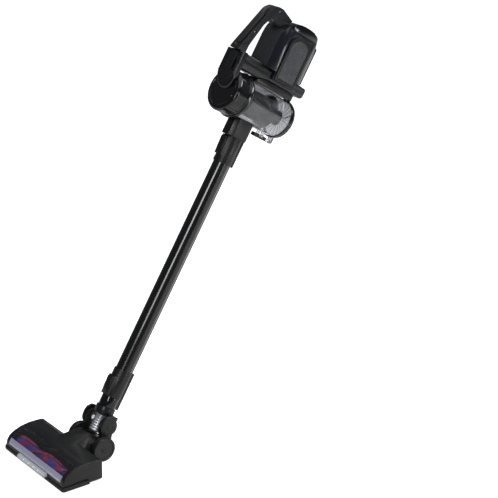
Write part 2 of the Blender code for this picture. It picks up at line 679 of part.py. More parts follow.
def make_spine():
    top = CAP_TOP - GAP
    outline = [(hand(SPINE_NOSE), top), (hand(SPINE_NOSE), 0.034), (hand(SPINE_FRONT), 0.004),
               (hand(SPINE_FRONT), SPINE_BASE + 0.004),
               (hand(SPINE_FRONT + 0.004), SPINE_BASE), (hand(SPINE_REAR - 0.003), SPINE_BASE),
               (hand(SPINE_REAR), -0.07), (hand(SPINE_REAR), top)]
    spine = bevel(side_plate(outline, -SPINE_WIDTH / 2, SPINE_WIDTH / 2), 0.003, 2)
    node(spine, "spine_frame", GREY, WAND)
    half = BRACKET_WIDTH / 2
    front = RIM_RADIUS + 0.0006
    outline = [(hand(front + 0.0065), 0.026), (hand(SPINE_FRONT - GAP - 0.0005), 0.006),
               (hand(SPINE_FRONT - GAP), -0.003), (hand(SPINE_FRONT - GAP), -0.092),
               (hand(front), -0.092), (hand(front), 0.024)]
    node(side_plate(outline, -half, half), "cup_bracket", SATIN, WAND)
    node(block((-0.016, hand(SPINE_REAR + 0.002), -0.058), (0.016, hand(SPINE_REAR + 0.0036), 0.006)),
         "control_board", BOARD, WAND)


def make_bridge():
    half = BRIDGE_WIDTH / 2
    rear = hand(SPINE_REAR)
    tip = [(half * math.cos(math.radians(a)), hand(half) + half * math.sin(math.radians(a)))
           for a in range(180, 361, 15)]
    low = CAP_TOP + GAP
    cover = plate(tip + [(half, rear), (-half, rear)], BRIDGE_TOP - low, middle=(BRIDGE_TOP + low) / 2)
    wedge = hull([(x, hand(y), z) for x in (-0.04, 0.04)
                  for y, z in ((-0.01, low + 0.0005), (0.036, BRIDGE_TOP), (0.036, 0.12), (-0.01, 0.12))])
    cut(cover, tool(wedge, WAND))
    node(cover, "bridge_cover", SATIN, WAND)
    reach, across = POWER_BUTTON_LENGTH / 2, POWER_BUTTON_WIDTH / 2

    def oval(extra):
        outline = []
        for end in (1, -1):
            for a in range(0, 181, 20):
                angle = math.radians(a if end == 1 else a + 180)
                outline.append(((across + extra) * math.cos(angle),
                                hand(POWER_BUTTON_Y) + end * (reach - across) + (across + extra) * math.sin(angle)))
        return outline

    floor = BRIDGE_TOP - 0.005
    cut(cover, tool(plate(oval(GAP), 0.02, middle=floor + 0.01), WAND))
    low = floor + POWER_TRAVEL + GAP
    button = plate(oval(0.0), BRIDGE_TOP + 0.0012 - low, middle=(BRIDGE_TOP + 0.0012 + low) / 2)
    node(button, "power_button", SATIN, WAND, (0, hand(POWER_BUTTON_Y), low))


def housing_outline(extra=0.0, rear=HOUSING_REAR):
    """Side view of the motor housing: flat front, round rear."""
    front = HOUSING_FRONT - (extra if extra > 0 else -0.010)
    corners = [(hand(front), HOUSING_TOP + extra), (hand(front), HOUSING_BASE - extra),
               (hand(rear + extra), HOUSING_BASE - extra), (hand(rear + extra), HOUSING_TOP + extra)]
    return rounded(corners, [0.002, 0.002, REAR_RADIUS + extra, REAR_RADIUS + extra], 7)


def top_chamfers(inset):
    """Wedges that slope the housing's two long upper edges, moved inwards by inset."""
    made = []
    for side in (-1, 1):
        half, top = HOUSING_WIDTH / 2 - inset, HOUSING_TOP - inset
        corners = ((half + 0.010, top + 0.010), (half - CHAMFER_IN - 0.006, top + CHAMFER_DOWN * 0.6),
                   (half + CHAMFER_IN * 0.5, top - CHAMFER_DOWN * 1.5))
        made.append(tool(hull([(side * x, hand(y), z) for y in (0.02, 0.25) for x, z in corners]), WAND))
    return made


def base_chamfers(inset):
    """Wedges that slope the housing's two long lower edges, moved inwards by inset."""
    made = []
    half, low = HOUSING_WIDTH / 2 - inset, HOUSING_BASE + inset
    for side in (-1, 1):
        corners = ((half + BASE_IN * 0.3, low + BASE_UP * 1.3), (half - BASE_IN * 1.3, low - BASE_UP * 0.3),
                   (half + 0.020, low - 0.020))
        made.append(tool(hull([(side * x, hand(y), z) for y in (0.02, 0.25) for x, z in corners]), WAND))
    return made


def chamfers(inset):
    return top_chamfers(inset) + base_chamfers(inset)


def make_housing():
    half = HOUSING_WIDTH / 2
    body = side_plate(housing_outline(), -half, half)
    cut(body, *chamfers(0.0))
    bevel(body, 0.003, 2, 60)
    pod_front, pod_top, pod_base = hand(VENT_FRONT), VENT_TOP + 0.002, VENT_BASE - 0.003
    for side in (-1, 1):
        edges = sorted((side * (SPINE_WIDTH / 2 + 0.003), side * half))
        pod = block((edges[0], pod_front, pod_base), (edges[1], hand(HOUSING_FRONT + 0.012), pod_top))
        join(body, tool(pod, WAND))
    inner = cut(side_plate(housing_outline(-WALL), -half + WALL, half - WALL), *chamfers(WALL))
    open_front = block((-half + 0.012, hand(0.03), HOUSING_BASE + BASE_UP),
                       (half - 0.012, hand(0.095), HOUSING_TOP - WALL))
    slot = SPINE_WIDTH / 2 + GAP
    spine_slot = block((-slot, hand(0.03), -0.12), (slot, hand(SPINE_REAR + GAP), 0.05))
    cut(body, tool(inner, WAND), tool(open_front, WAND), tool(spine_slot, WAND))
    for side in (-1, 1):
        cut(body, tool(vent_plate(side, GAP, half - WALL - 0.004, half + 0.01), WAND))
    cut(body, tool(block((-0.1, hand(HOUSING_SPLIT), -0.15), (0.1, hand(0.25), 0.1)), WAND))
    node(body, "motor_housing", GLOSS, WAND)

    cover = cut(side_plate(housing_outline(), -half, half), *chamfers(0.0))
    bevel(cover, 0.003, 2, 60)
    inner = cut(side_plate(housing_outline(-WALL), -half + WALL, half - WALL), *chamfers(WALL))
    cut(cover, tool(inner, WAND))
    cut(cover, tool(block((-0.1, hand(0.0), -0.15), (0.1, hand(HOUSING_SPLIT + GAP), 0.1)), WAND))
    node(cover, "rear_cover", GLOSS, WAND)


def vent_plate(side, extra, low, high):
    """D-shaped vent: square towards the spine, round at the rear."""
    front, rear = hand(VENT_FRONT + 0.002) - extra, hand(VENT_REAR - 0.0035) + extra
    top, base = VENT_TOP + extra, VENT_BASE - extra
    corners = [(front, top), (front, base), (rear, base), (rear, top)]
    outline = rounded(corners, [0.004, 0.004, 0.024, 0.024], 5)
    edges = sorted((side * low, side * high))
    return side_plate(outline, edges[0], edges[1])


def make_vents():
    half = HOUSING_WIDTH / 2
    for side, name in ((-1, "vent_grille_left"), (1, "vent_grille_right")):
        grille = vent_plate(side, 0.0, half - WALL, half + VENT_DEPTH - 0.001)
        dish = vent_plate(side, -0.0055, half + 0.0015, half + 0.02)
        cut(grille, tool(dish, WAND))
        node(grille, name, SATIN, WAND)


HANDLE_OUTER = [(0.0895, 0.1095), (0.098, 0.1075), (0.2020, 0.0708), (0.2145, 0.0570), (0.2150, 0.0390),
                (0.2030, 0.0020)]
HANDLE_INNER = [(0.178, 0.008), (0.175, 0.031), (0.1895, 0.0570), (0.163, 0.0715), (0.108, 0.0850),
                (0.0895, 0.0855)]
HANDLE_FILLETS = [0, 0.004, 0.022, 0.016, 0.010, 0, 0, 0.004, 0.010, 0.020, 0.006, 0]


def make_handle():
    corners = [(hand(y), z) for y, z in HANDLE_OUTER + HANDLE_INNER]
    outline = rounded(corners, HANDLE_FILLETS, 4)
    half = HANDLE_WIDTH / 2
    for side, name in ((-1, "handle_left"), (1, "handle_right")):
        edges = sorted((side * GAP / 2, side * half))
        loop = side_plate(outline, edges[0], edges[1])
        housing = side_plate(housing_outline(GAP), -0.03, 0.03)
        cut(loop, tool(housing, WAND))
        node(loop, name, GREY, WAND)
    first, last = Vector(HANDLE_OUTER[1]), Vector(HANDLE_OUTER[2])
    run = (last - first).normalized()
    out = Vector((-run.y, run.x))
    start = first + run * 0.006
    end = last - run * 0.016
    outline = [start + out * GAP, end + out * GAP, end + out * (GAP + GRIP_THICKNESS),
               start + out * (GAP + GRIP_THICKNESS)]
    strip = side_plate([(hand(p.x), p.y) for p in outline], -GRIP_WIDTH / 2, GRIP_WIDTH / 2)
    node(strip, "grip_strip", RUBBER, WAND)


def make_drive():
    """Suction motor, its impeller, the battery pack and the rail under the housing."""
    axis_y, axis_z = hand(0.128), -0.026
    motor = rod(MOTOR_RADIUS, (-0.024, axis_y, axis_z), (0.014, axis_y, axis_z), 28)
    node(motor, "suction_motor", STEEL, WAND)
    cut(motor, tool(rod(SHAFT_RADIUS + GAP, (-0.05, axis_y, axis_z), (0.05, axis_y, axis_z), 16), WAND))
    node(rod(SHAFT_RADIUS, (-0.022, axis_y, axis_z), (0.030, axis_y, axis_z), 16),
         "motor_shaft", STEEL, WAND, (0, axis_y, axis_z))
    fan = rod(IMPELLER_RADIUS, (0.016, axis_y, axis_z), (0.0185, axis_y, axis_z), 28)
    node(fan, "impeller", SILVER, WAND, (0.016, axis_y, axis_z))
    for i in range(9):
        blade = block((0.0175, 0.006, -0.0008), (0.028, IMPELLER_RADIUS - 0.001, 0.0008))
        turn = Matrix.Rotation(2 * math.pi * i / 9, 4, "X")
        blade.data.transform(Matrix.Translation((0, axis_y, axis_z)) @ turn)
        join(fan, tool(blade, WAND))
    hub = rod(0.009, (0.0175, axis_y, axis_z), (0.026, axis_y, axis_z), 16)
    join(fan, tool(hub, WAND))
    cut(fan, tool(rod(SHAFT_RADIUS + GAP, (0.0, axis_y, axis_z), (0.05, axis_y, axis_z), 16), WAND))
    node(block((-0.0205, hand(0.096), -0.0845), (0.0205, hand(0.160), -0.060)), "battery_pack", BATTERY, WAND)
    half = RAIL_BAR_WIDTH / 2
    top = HOUSING_BASE - GAP
    outline = [(hand(SPINE_REAR + GAP), top), (hand(SPINE_REAR + GAP), top - RAIL_BAR_HEIGHT),
               (hand(0.176), top - RAIL_BAR_HEIGHT), (hand(0.180), top - RAIL_BAR_HEIGHT + 0.004),
               (hand(0.174), top)]
    rail = side_plate(outline, -half, half)
    cut(rail, tool(side_plate(housing_outline(GAP), -0.05, 0.05), WAND))
    node(rail, "battery_rail", SATIN, WAND)


# ---------------------------------------------------------------- brush head
HEAD_PROFILE = [(HEAD_REAR, HEAD_CLEARANCE), (HEAD_REAR, 0.044), (-0.061, 0.0495), (-0.070, 0.0515),
                (-0.098, HEAD_TOP), (-0.120, 0.0485), (-0.137, 0.0425), (-0.149, 0.0345),
                (-0.1555, 0.0250), (HEAD_FRONT, 0.0150), (HEAD_FRONT, HEAD_CLEARANCE)]


def inset_profile(amount):
    """The head's side outline moved inwards, open at its lower edge."""
    middle = Vector((-0.107, 0.016))
    made = []
    for i, point in enumerate(HEAD_PROFILE):
        before = Vector(HEAD_PROFILE[max(i - 1, 0)])
        after = Vector(HEAD_PROFILE[min(i + 1, len(HEAD_PROFILE) - 1)])
        run = (after - before).normalized()
        inward = Vector((-run.y, run.x))
        if inward.dot(middle - Vector(point)) < 0:
            inward = -inward
        made.append(Vector(point) + inward * amount)
    return [(p.x, p.y) for p in made]


def window_outline(gap):
    """Plan of the window and the strip in front of it, with a notch in its rear edge."""
    half = WINDOW_WIDTH / 2 - gap
    return [(-half, -0.170), (half, -0.170), (half, -0.1195 - gap), (0.036, -0.1095 - gap),
            (0.009, -0.1205 - gap), (-0.009, -0.1205 - gap), (-0.036, -0.1095 - gap), (-half, -0.1195 - gap)]


def make_head_shell():
    half = HEAD_WIDTH / 2
    shell = bevel(side_plate(HEAD_PROFILE, -half, half), 0.006, 3, 50)
    console = hull([(s * x, y, z) for s in (-1, 1) for x, y, z in
                    ((0.050, -0.064, 0.012), (0.050, -0.064, 0.036), (0.024, -0.094, HEAD_TOP - 0.0005),
                     (0.032, -0.020, 0.010), (0.032, -0.020, 0.040), (0.0225, -0.026, 0.0585),
                     (0.024, 0.020, 0.012), (0.024, 0.016, 0.034))])
    join(shell, tool(console, HEAD))
    inner_face = YOKE_OUT - YOKE_PLATE - 0.0005
    disc = [(TILT_Y + EAR_DISC * math.cos(math.radians(a)), TILT_Z + EAR_DISC * math.sin(math.radians(a)))
            for a in range(-45, 181, 15)]
    outline = disc + [(-0.006, 0.050), (-0.018, 0.030), (-0.018, 0.016), (0.018, 0.016), (0.0235, 0.040)]
    for side in (-1, 1):
        edges = sorted((side * (inner_face - EAR_PLATE), side * inner_face))
        join(shell, tool(side_plate(outline, edges[0], edges[1]), HEAD))
    node(shell, "head_shell", SATIN, HEAD)

    inside = side_plate(inset_profile(WALL), -half + WALL, half - WALL)
    lower = block((-half + WALL, HEAD_FRONT + WALL, -0.02), (half - WALL, HEAD_REAR - WALL, HEAD_CLEARANCE + 0.002))
    cut(shell, tool(inside, HEAD), tool(lower, HEAD))
    front = plate(window_outline(0.0), 0.050, middle=0.0195 + 0.025)
    cut(shell, tool(front, HEAD))
    lean_up = Vector((0, math.sin(LEAN), math.cos(LEAN)))
    axis = Vector((0, TILT_Y, TILT_Z))
    pocket = rod(HOSE_RADIUS + 0.0015, axis - lean_up * 0.031, axis + lean_up * 0.05, 28)
    fan_room = rod(EAR_DISC + 0.004, (-0.0245, TILT_Y, TILT_Z), (0.0245, TILT_Y, TILT_Z), 28)
    airway = rod(0.011, (0, -0.002, 0.050), (0, -0.080, 0.030), 20)
    cut(shell, tool(pocket, HEAD), tool(fan_room, HEAD), tool(airway, HEAD))
    cut(shell, tool(rod(PIN_RADIUS + GAP, (-0.05, TILT_Y, TILT_Z), (0.05, TILT_Y, TILT_Z)), HEAD))
    cut(shell, tool(rod(AXLE_RADIUS + GAP, (-0.05, WHEEL_Y, WHEEL_RADIUS), (0.05, WHEEL_Y, WHEEL_RADIUS)), HEAD))


def make_window():
    outer = HEAD_PROFILE[5:8]
    band = [HEAD_PROFILE[4]] + outer
    thick = WINDOW_THICKNESS
    lower = [(y + 0.0006, z - thick) for y, z in band]
    window = side_plate(band + lower[::-1], -WINDOW_WIDTH / 2 - 0.011, WINDOW_WIDTH / 2 + 0.011)
    plan = plate(window_outline(GAP), 0.08, middle=0.06)
    boolean(window, tool(plan, HEAD), "INTERSECT")
    node(window, "brush_window", SMOKE, HEAD)

    upper, lower = Vector(HEAD_PROFILE[7]), Vector(HEAD_PROFILE[8])
    inward = Vector((upper.y - lower.y, lower.x - upper.x)).normalized() * WINDOW_THICKNESS
    start = upper.lerp(lower, 0.15)
    foot = Vector((HEAD_FRONT + 0.0006, 0.0198))
    outline = [start, lower, foot, foot + Vector((WINDOW_THICKNESS, 0)), lower + inward, start + inward]
    half = WINDOW_WIDTH / 2 - GAP
    node(side_plate(outline, -half, half), "front_diffuser", PALE, HEAD)


def make_base():
    half = HEAD_WIDTH / 2 - WALL - GAP
    low, high = 0.0025, 0.0050
    base = block((-half, HEAD_FRONT + WALL + GAP, low), (half, HEAD_REAR - WALL - GAP, high))
    mouth_half = ROLLER_LENGTH / 2 + 0.004
    mouth = block((-mouth_half, ROLLER_Y - 0.0205, 0), (mouth_half, ROLLER_Y + 0.0205, 0.01))
    cut(base, tool(mouth, HEAD))
    for side in (-1, 1):
        well = block((side * 0.070 - 0.0085, -0.0775, 0), (side * 0.070 + 0.0085, -0.0645, 0.01))
        cut(base, tool(well, HEAD))
    node(base, "base_plate", SATIN, HEAD)
    for side, name in ((-1, "foot_roller_left"), (1, "foot_roller_right")):
        middle = (side * 0.070, -0.071, FOOT_ROLLER_RADIUS)
        roller = rod(FOOT_ROLLER_RADIUS, (middle[0] - 0.007, middle[1], middle[2]),
                     (middle[0] + 0.007, middle[1], middle[2]))
        node(roller, name, RUBBER, HEAD, middle)


def make_bumper():
    half = BUMPER_WIDTH / 2
    inner = HEAD_WIDTH / 2 + GAP
    outer = rounded([(-half, -0.092), (-half, BUMPER_FRONT), (half, BUMPER_FRONT), (half, -0.092)],
                    [0, BUMPER_CORNER, BUMPER_CORNER, 0], 4)
    outline = outer + rounded([(inner, -0.092), (inner, HEAD_FRONT - GAP), (-inner, HEAD_FRONT - GAP), (-inner, -0.092)],
                              [0, BUMPER_CORNER - 0.004, BUMPER_CORNER - 0.004, 0], 4)
    low = HEAD_CLEARANCE - 0.001
    node(plate(outline, BUMPER_HEIGHT, middle=low + BUMPER_HEIGHT / 2), "front_bumper", RUBBER, HEAD)
    half = LIGHT_BAR_WIDTH / 2
    low = low + BUMPER_HEIGHT + GAP
    back = HEAD_FRONT - GAP
    outline = [(back, low), (back, 0.0192), (-0.1625, 0.0192), (-0.1665, 0.0160), (-0.1665, low)]
    bar = side_plate(outline, -half, half)
    node(bar, "light_bar", SMOKE, HEAD)
    cut(bar, tool(block((-half + 0.006, -0.1625, 0.0), (half - 0.006, back + 0.01, low + 0.0045)), HEAD))


def make_lamps():
    """Lamp strip under the light bar: a board with four raised lamps, in one piece."""
    low = HEAD_CLEARANCE - 0.001 + BUMPER_HEIGHT + GAP
    strip = block((-0.046, -0.1612, low + 0.0002), (0.046, -0.1586, low + 0.0016))
    for i in range(4):
        x = (i - 1.5) * 0.024
        lamp = block((x - 0.0025, -0.1612, low + 0.001), (x + 0.0025, -0.1586, low + 0.0034))
        join(strip, tool(lamp, HEAD))
    node(strip, "lamp_board", PALE, HEAD)


def helix_strip(name, phase):
    """One bristle strip wound once round the roller from end to end."""
    low, high = ROLLER_RADIUS + GAP, BRISTLE_REACH
    steps = 24
    bm = bmesh.new()
    bmesh.ops.create_cube(bm, size=1.0)
    size = Matrix.Diagonal((ROLLER_LENGTH - 0.006, 0.0042, high - low, 1.0))
    bmesh.ops.transform(bm, matrix=Matrix.Translation((0, 0, (high + low) / 2 + 0.0002)) @ size, verts=bm.verts)
    long_edges = [e for e in bm.edges if abs(e.verts[0].co.x - e.verts[1].co.x) > 0.01]
    bmesh.ops.subdivide_edges(bm, edges=long_edges, cuts=steps - 1, use_grid_fill=True)
    for vertex in bm.verts:
        share = vertex.co.x / ROLLER_LENGTH
        radius = vertex.co.z
        angle = phase + math.tau * share + math.atan2(vertex.co.y, radius)
        vertex.co = (vertex.co.x, radius * math.sin(angle), radius * math.cos(angle))
    bmesh.ops.triangulate(bm, faces=bm.faces)
    strip = from_bmesh(bm, name)
    node(strip, name, BRISTLE, HEAD)
    strip.location = (0, ROLLER_Y, ROLLER_Z)


def make_brush():
    half = ROLLER_LENGTH / 2
    spots = [(ROLLER_SHAFT_RADIUS, SHAFT_END), (ROLLER_SHAFT_RADIUS, half + 0.0085),
             (ROLLER_PULLEY, half + 0.0085), (ROLLER_PULLEY, half + 0.001), (ROLLER_RADIUS, half),
             (ROLLER_RADIUS, -half), (ROLLER_SHAFT_RADIUS, -half), (ROLLER_SHAFT_RADIUS, -SHAFT_END)]
    profile = [(0, SHAFT_END)] + spots + [(0, -SHAFT_END)]
    roller = turned(profile, 28, Matrix.Translation((0, ROLLER_Y, ROLLER_Z)) @ UP_TO_SIDE, closed=False)
    node(roller, "brush_roller", VIOLET, HEAD)
    helix_strip("bristle_strip_a", 0.0)
    helix_strip("bristle_strip_b", math.pi)
    for side, name in ((-1, "roller_bearing_left"), (1, "roller_bearing_right")):
        edges = sorted((side * BEARING_X, side * (HEAD_WIDTH / 2 - WALL - GAP)))
        bearing = block((edges[0], ROLLER_Y - 0.009, 0.0085), (edges[1], ROLLER_Y + 0.009, 0.0345))
        inner, outer = side * (BEARING_X - 0.0045), side * (SHAFT_END + 0.0005)
        bore = rod(ROLLER_SHAFT_RADIUS + GAP, (inner, ROLLER_Y, ROLLER_Z), (outer, ROLLER_Y, ROLLER_Z))
        cut(bearing, tool(bore, HEAD))
        node(bearing, name, SATIN, HEAD)
    motor = rod(BRUSH_MOTOR_RADIUS, (0.035, BRUSH_MOTOR_Y, BRUSH_MOTOR_Z), (0.094, BRUSH_MOTOR_Y, BRUSH_MOTOR_Z),
                24)
    node(motor, "brush_motor", STEEL, HEAD)
    pulley = rod(MOTOR_PULLEY, (0.0945, BRUSH_MOTOR_Y, BRUSH_MOTOR_Z), (half + 0.0085, BRUSH_MOTOR_Y, BRUSH_MOTOR_Z))
    node(pulley, "motor_pulley", STEEL, HEAD, (half + 0.004, BRUSH_MOTOR_Y, BRUSH_MOTOR_Z))
    make_belt(half + 0.0025, half + 0.0075)


def make_belt(low, high):
    """A flat belt round the roller's pulley and the motor's pulley."""
    def loop(extra):
        points = []
        start = Vector((ROLLER_Y, ROLLER_Z))
        end = Vector((BRUSH_MOTOR_Y, BRUSH_MOTOR_Z))
        run = end - start
        facing = math.atan2(run.y, run.x)
        slope = math.acos((ROLLER_PULLEY - MOTOR_PULLEY) / run.length)
        for centre, radius, first, last in ((start, ROLLER_PULLEY, facing + slope, facing + math.tau - slope),
                                            (end, MOTOR_PULLEY, facing - slope, facing + slope)):
            for k in range(9):
                angle = first + (last - first) * k / 8
                points.append((centre.x + (radius + extra) * math.cos(angle),
                               centre.y + (radius + extra) * math.sin(angle)))
        return points

    belt = side_plate(loop(0.0016), low, high)
    cut(belt, tool(side_plate(loop(0.0005), low - 0.01, high + 0.01), HEAD))
    node(belt, "drive_belt", RUBBER, HEAD)


def make_wheels():
    for side, where in ((-1, "left"), (1, "right")):
        inside, outside = side * WHEEL_INSIDE, side * (WHEEL_INSIDE + WHEEL_WIDTH)
        chamfer = 0.002
        half = WHEEL_WIDTH / 2
        profile = [(AXLE_RADIUS + GAP, half), (WHEEL_RADIUS - chamfer, half), (WHEEL_RADIUS, half - chamfer),
                   (WHEEL_RADIUS, -half + chamfer), (WHEEL_RADIUS - chamfer, -half), (AXLE_RADIUS + GAP, -half)]
        place = Matrix.Translation(((inside + outside) / 2, WHEEL_Y, WHEEL_RADIUS)) @ UP_TO_SIDE
        node(turned(profile, 36, place), "wheel_" + where, RUBBER, HEAD)
    reach = WHEEL_INSIDE + WHEEL_WIDTH - 0.001
    axle = rod(AXLE_RADIUS, (-reach, WHEEL_Y, WHEEL_RADIUS), (reach, WHEEL_Y, WHEEL_RADIUS))
    node(axle, "wheel_axle", STEEL, HEAD)


def centre_on_origin():
    """Put the middle of the whole vacuum's footprint box over the origin, its lowest point at z = 0."""
    bpy.context.view_layer.update()
    graph = bpy.context.evaluated_depsgraph_get()
    low, high = Vector((1e9,) * 3), Vector((-1e9,) * 3)
    for obj in GROUPS["stick_vacuum"].objects:
        if obj.type != "MESH":
            continue
        seen = obj.evaluated_get(graph)
        for vertex in seen.data.vertices:
            spot = seen.matrix_world @ vertex.co
            low = Vector(map(min, low, spot))
            high = Vector(map(max, high, spot))
    ORIGIN.location = (0, -(low.y + high.y) / 2, -low.z)


make_cap()
make_pleated_filter()
make_cup()
make_cyclone()
make_lid()
make_latch()
make_duct()
make_upper_sleeve()
make_wand()
make_lower_sleeve()
make_neck()
make_yoke()
make_hose()
make_spine()
make_bridge()
make_housing()
make_vents()
make_handle()
make_drive()
make_head_shell()
make_window()
make_base()
make_bumper()
make_lamps()
make_brush()
make_wheels()
centre_on_origin()
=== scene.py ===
import json
import math

import bmesh
import bpy
from mathutils import Matrix, Quaternion, Vector


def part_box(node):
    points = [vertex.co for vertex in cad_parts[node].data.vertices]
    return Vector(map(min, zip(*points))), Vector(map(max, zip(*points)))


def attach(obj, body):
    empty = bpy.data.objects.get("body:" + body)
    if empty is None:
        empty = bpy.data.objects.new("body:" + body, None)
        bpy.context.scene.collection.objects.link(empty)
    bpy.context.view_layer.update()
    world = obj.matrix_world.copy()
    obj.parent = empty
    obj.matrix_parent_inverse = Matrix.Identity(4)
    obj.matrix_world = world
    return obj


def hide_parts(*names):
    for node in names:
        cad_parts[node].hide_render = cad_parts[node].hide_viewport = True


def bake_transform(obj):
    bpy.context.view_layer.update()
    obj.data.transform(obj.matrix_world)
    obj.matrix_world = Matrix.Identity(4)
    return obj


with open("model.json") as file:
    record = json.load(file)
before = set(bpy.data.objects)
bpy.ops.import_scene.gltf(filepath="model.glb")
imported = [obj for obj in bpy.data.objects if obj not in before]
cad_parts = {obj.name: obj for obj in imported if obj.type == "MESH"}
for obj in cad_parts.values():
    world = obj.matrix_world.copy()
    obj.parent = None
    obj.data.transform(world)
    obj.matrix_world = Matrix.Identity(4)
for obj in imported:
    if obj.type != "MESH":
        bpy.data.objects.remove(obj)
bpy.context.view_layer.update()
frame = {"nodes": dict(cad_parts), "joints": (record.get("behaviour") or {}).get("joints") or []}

# ------------------------------------------------------------------ places, read from the record
JOINTS = {joint["name"]: joint for joint in frame["joints"]}
TILT = Vector(JOINTS["neck_tilt"]["pos_m"])
UP_WAND = Vector(JOINTS["neck_swivel"]["axis"]).normalized()
OUT_OF_WAND = Vector((1, 0, 0)).cross(UP_WAND)
WAND = Matrix.Translation(TILT) @ Matrix(((1, 0, 0), UP_WAND, OUT_OF_WAND)).transposed().to_4x4()
CUP_Y = 0.784                    # cup axis up the wand from the tilt axis
TURN_X = Matrix.Rotation(math.pi / 2, 4, "Y")       # a part turned about z lies along x
TURN_Y = Matrix.Rotation(-math.pi / 2, 4, "X")      # a part turned about z lies along y


def at(x, y, z):
    return Matrix.Translation((x, y, z))


def box_on_wand(node):
    """Lowest and highest corner of a CAD node in the wand's frame."""
    inward = WAND.inverted()
    spots = [inward @ vert.co for vert in frame["nodes"][node].data.vertices]
    return (Vector([min(spot[i] for spot in spots) for i in range(3)]),
            Vector([max(spot[i] for spot in spots) for i in range(3)]))


def heights_on_wand(node):
    """Lowest and highest z of a CAD node in the wand's frame."""
    low, high = box_on_wand(node)
    return low.z, high.z


# ------------------------------------------------------------------ shared node groups
def new_group(name, inputs, outputs):
    group = bpy.data.node_groups.new(name, "ShaderNodeTree")
    for label, kind, value in inputs:
        socket = group.interface.new_socket(label, in_out="INPUT", socket_type=kind)
        if value is not None:
            socket.default_value = value
    for label, kind in outputs:
        group.interface.new_socket(label, in_out="OUTPUT", socket_type=kind)
    return group, group.nodes.new("NodeGroupInput"), group.nodes.new("NodeGroupOutput")


def add_node(tree, kind, settings=None, **values):
    """Add a node, set its properties, and fill its inputs by name, linking sockets and setting the rest."""
    made = tree.nodes.new(kind)
    for key, value in (settings or {}).items():
        setattr(made, key, value)
    for key, value in values.items():
        socket = made.inputs[int(key[1:])] if key[1:].isdigit() else made.inputs[key.replace("_", " ")]
        if isinstance(value, bpy.types.NodeSocket):
            tree.links.new(value, socket)
        else:
            socket.default_value = value
    return made


FLOAT, COLOUR, NORMAL = "NodeSocketFloat", "NodeSocketColor", "NodeSocketVector"


def make_moulded_grain():
    """Fine spark-eroded grain of a moulded part, and the slow waviness of its wall."""
    group, given, made = new_group(
        "moulded_grain",
        [("Grain Size", FLOAT, 0.0006), ("Grain Height", FLOAT, 0.2), ("Waviness", FLOAT, 0.02)],
        [("Normal", NORMAL), ("Mask", FLOAT)])
    place = add_node(group, "ShaderNodeTexCoord").outputs["Object"]
    scale = add_node(group, "ShaderNodeMath", {"operation": "DIVIDE"}, _0=1.0, _1=given.outputs["Grain Size"])
    grain = add_node(group, "ShaderNodeTexNoise", Vector=place, Scale=scale.outputs[0], Detail=2.0)
    wave = add_node(group, "ShaderNodeTexNoise", Vector=place, Scale=22.0, Detail=1.0)
    wall = add_node(group, "ShaderNodeBump", Height=wave.outputs[0], Distance=0.002,
                    Strength=given.outputs["Waviness"])
    skin = add_node(group, "ShaderNodeBump", Height=grain.outputs[0], Distance=0.0001,
                    Strength=given.outputs["Grain Height"], Normal=wall.outputs[0])
    group.links.new(skin.outputs[0], made.inputs["Normal"])
    group.links.new(grain.outputs[0], made.inputs["Mask"])
    return group


def make_handling():
    """Faint smears and fine scratches that change how a surface shines."""
    group, given, made = new_group(
        "handling_marks",
        [("Roughness", FLOAT, 0.2), ("Smears", FLOAT, 0.05), ("Scratches", FLOAT, 0.05),
         ("Seed", FLOAT, 0.0)],
        [("Roughness", FLOAT), ("Mask", FLOAT)])
    place = add_node(group, "ShaderNodeTexCoord").outputs["Object"]
    smear = add_node(group, "ShaderNodeTexNoise", {"noise_dimensions": "4D"}, Vector=place,
                     W=given.outputs["Seed"], Scale=16.0, Detail=5.0, Distortion=0.6)
    smear = add_node(group, "ShaderNodeMapRange", Value=smear.outputs[0], From_Min=0.42, From_Max=0.70)
    stretch = add_node(group, "ShaderNodeMapping", Vector=place, Scale=(60.0, 900.0, 240.0),
                       Rotation=(0.4, 0.3, 0.9))
    line = add_node(group, "ShaderNodeTexNoise", Vector=stretch.outputs[0], Scale=1.0, Detail=2.0)
    line = add_node(group, "ShaderNodeMapRange", Value=line.outputs[0], From_Min=0.66, From_Max=0.74)
    smears = add_node(group, "ShaderNodeMath", {"operation": "MULTIPLY_ADD"}, _0=smear.outputs[0],
                      _1=given.outputs["Smears"], _2=given.outputs["Roughness"])
    total = add_node(group, "ShaderNodeMath", {"operation": "MULTIPLY_ADD", "use_clamp": True},
                     _0=line.outputs[0], _1=given.outputs["Scratches"], _2=smears.outputs[0])
    group.links.new(total.outputs[0], made.inputs["Roughness"])
    group.links.new(smear.outputs[0], made.inputs["Mask"])
    return group


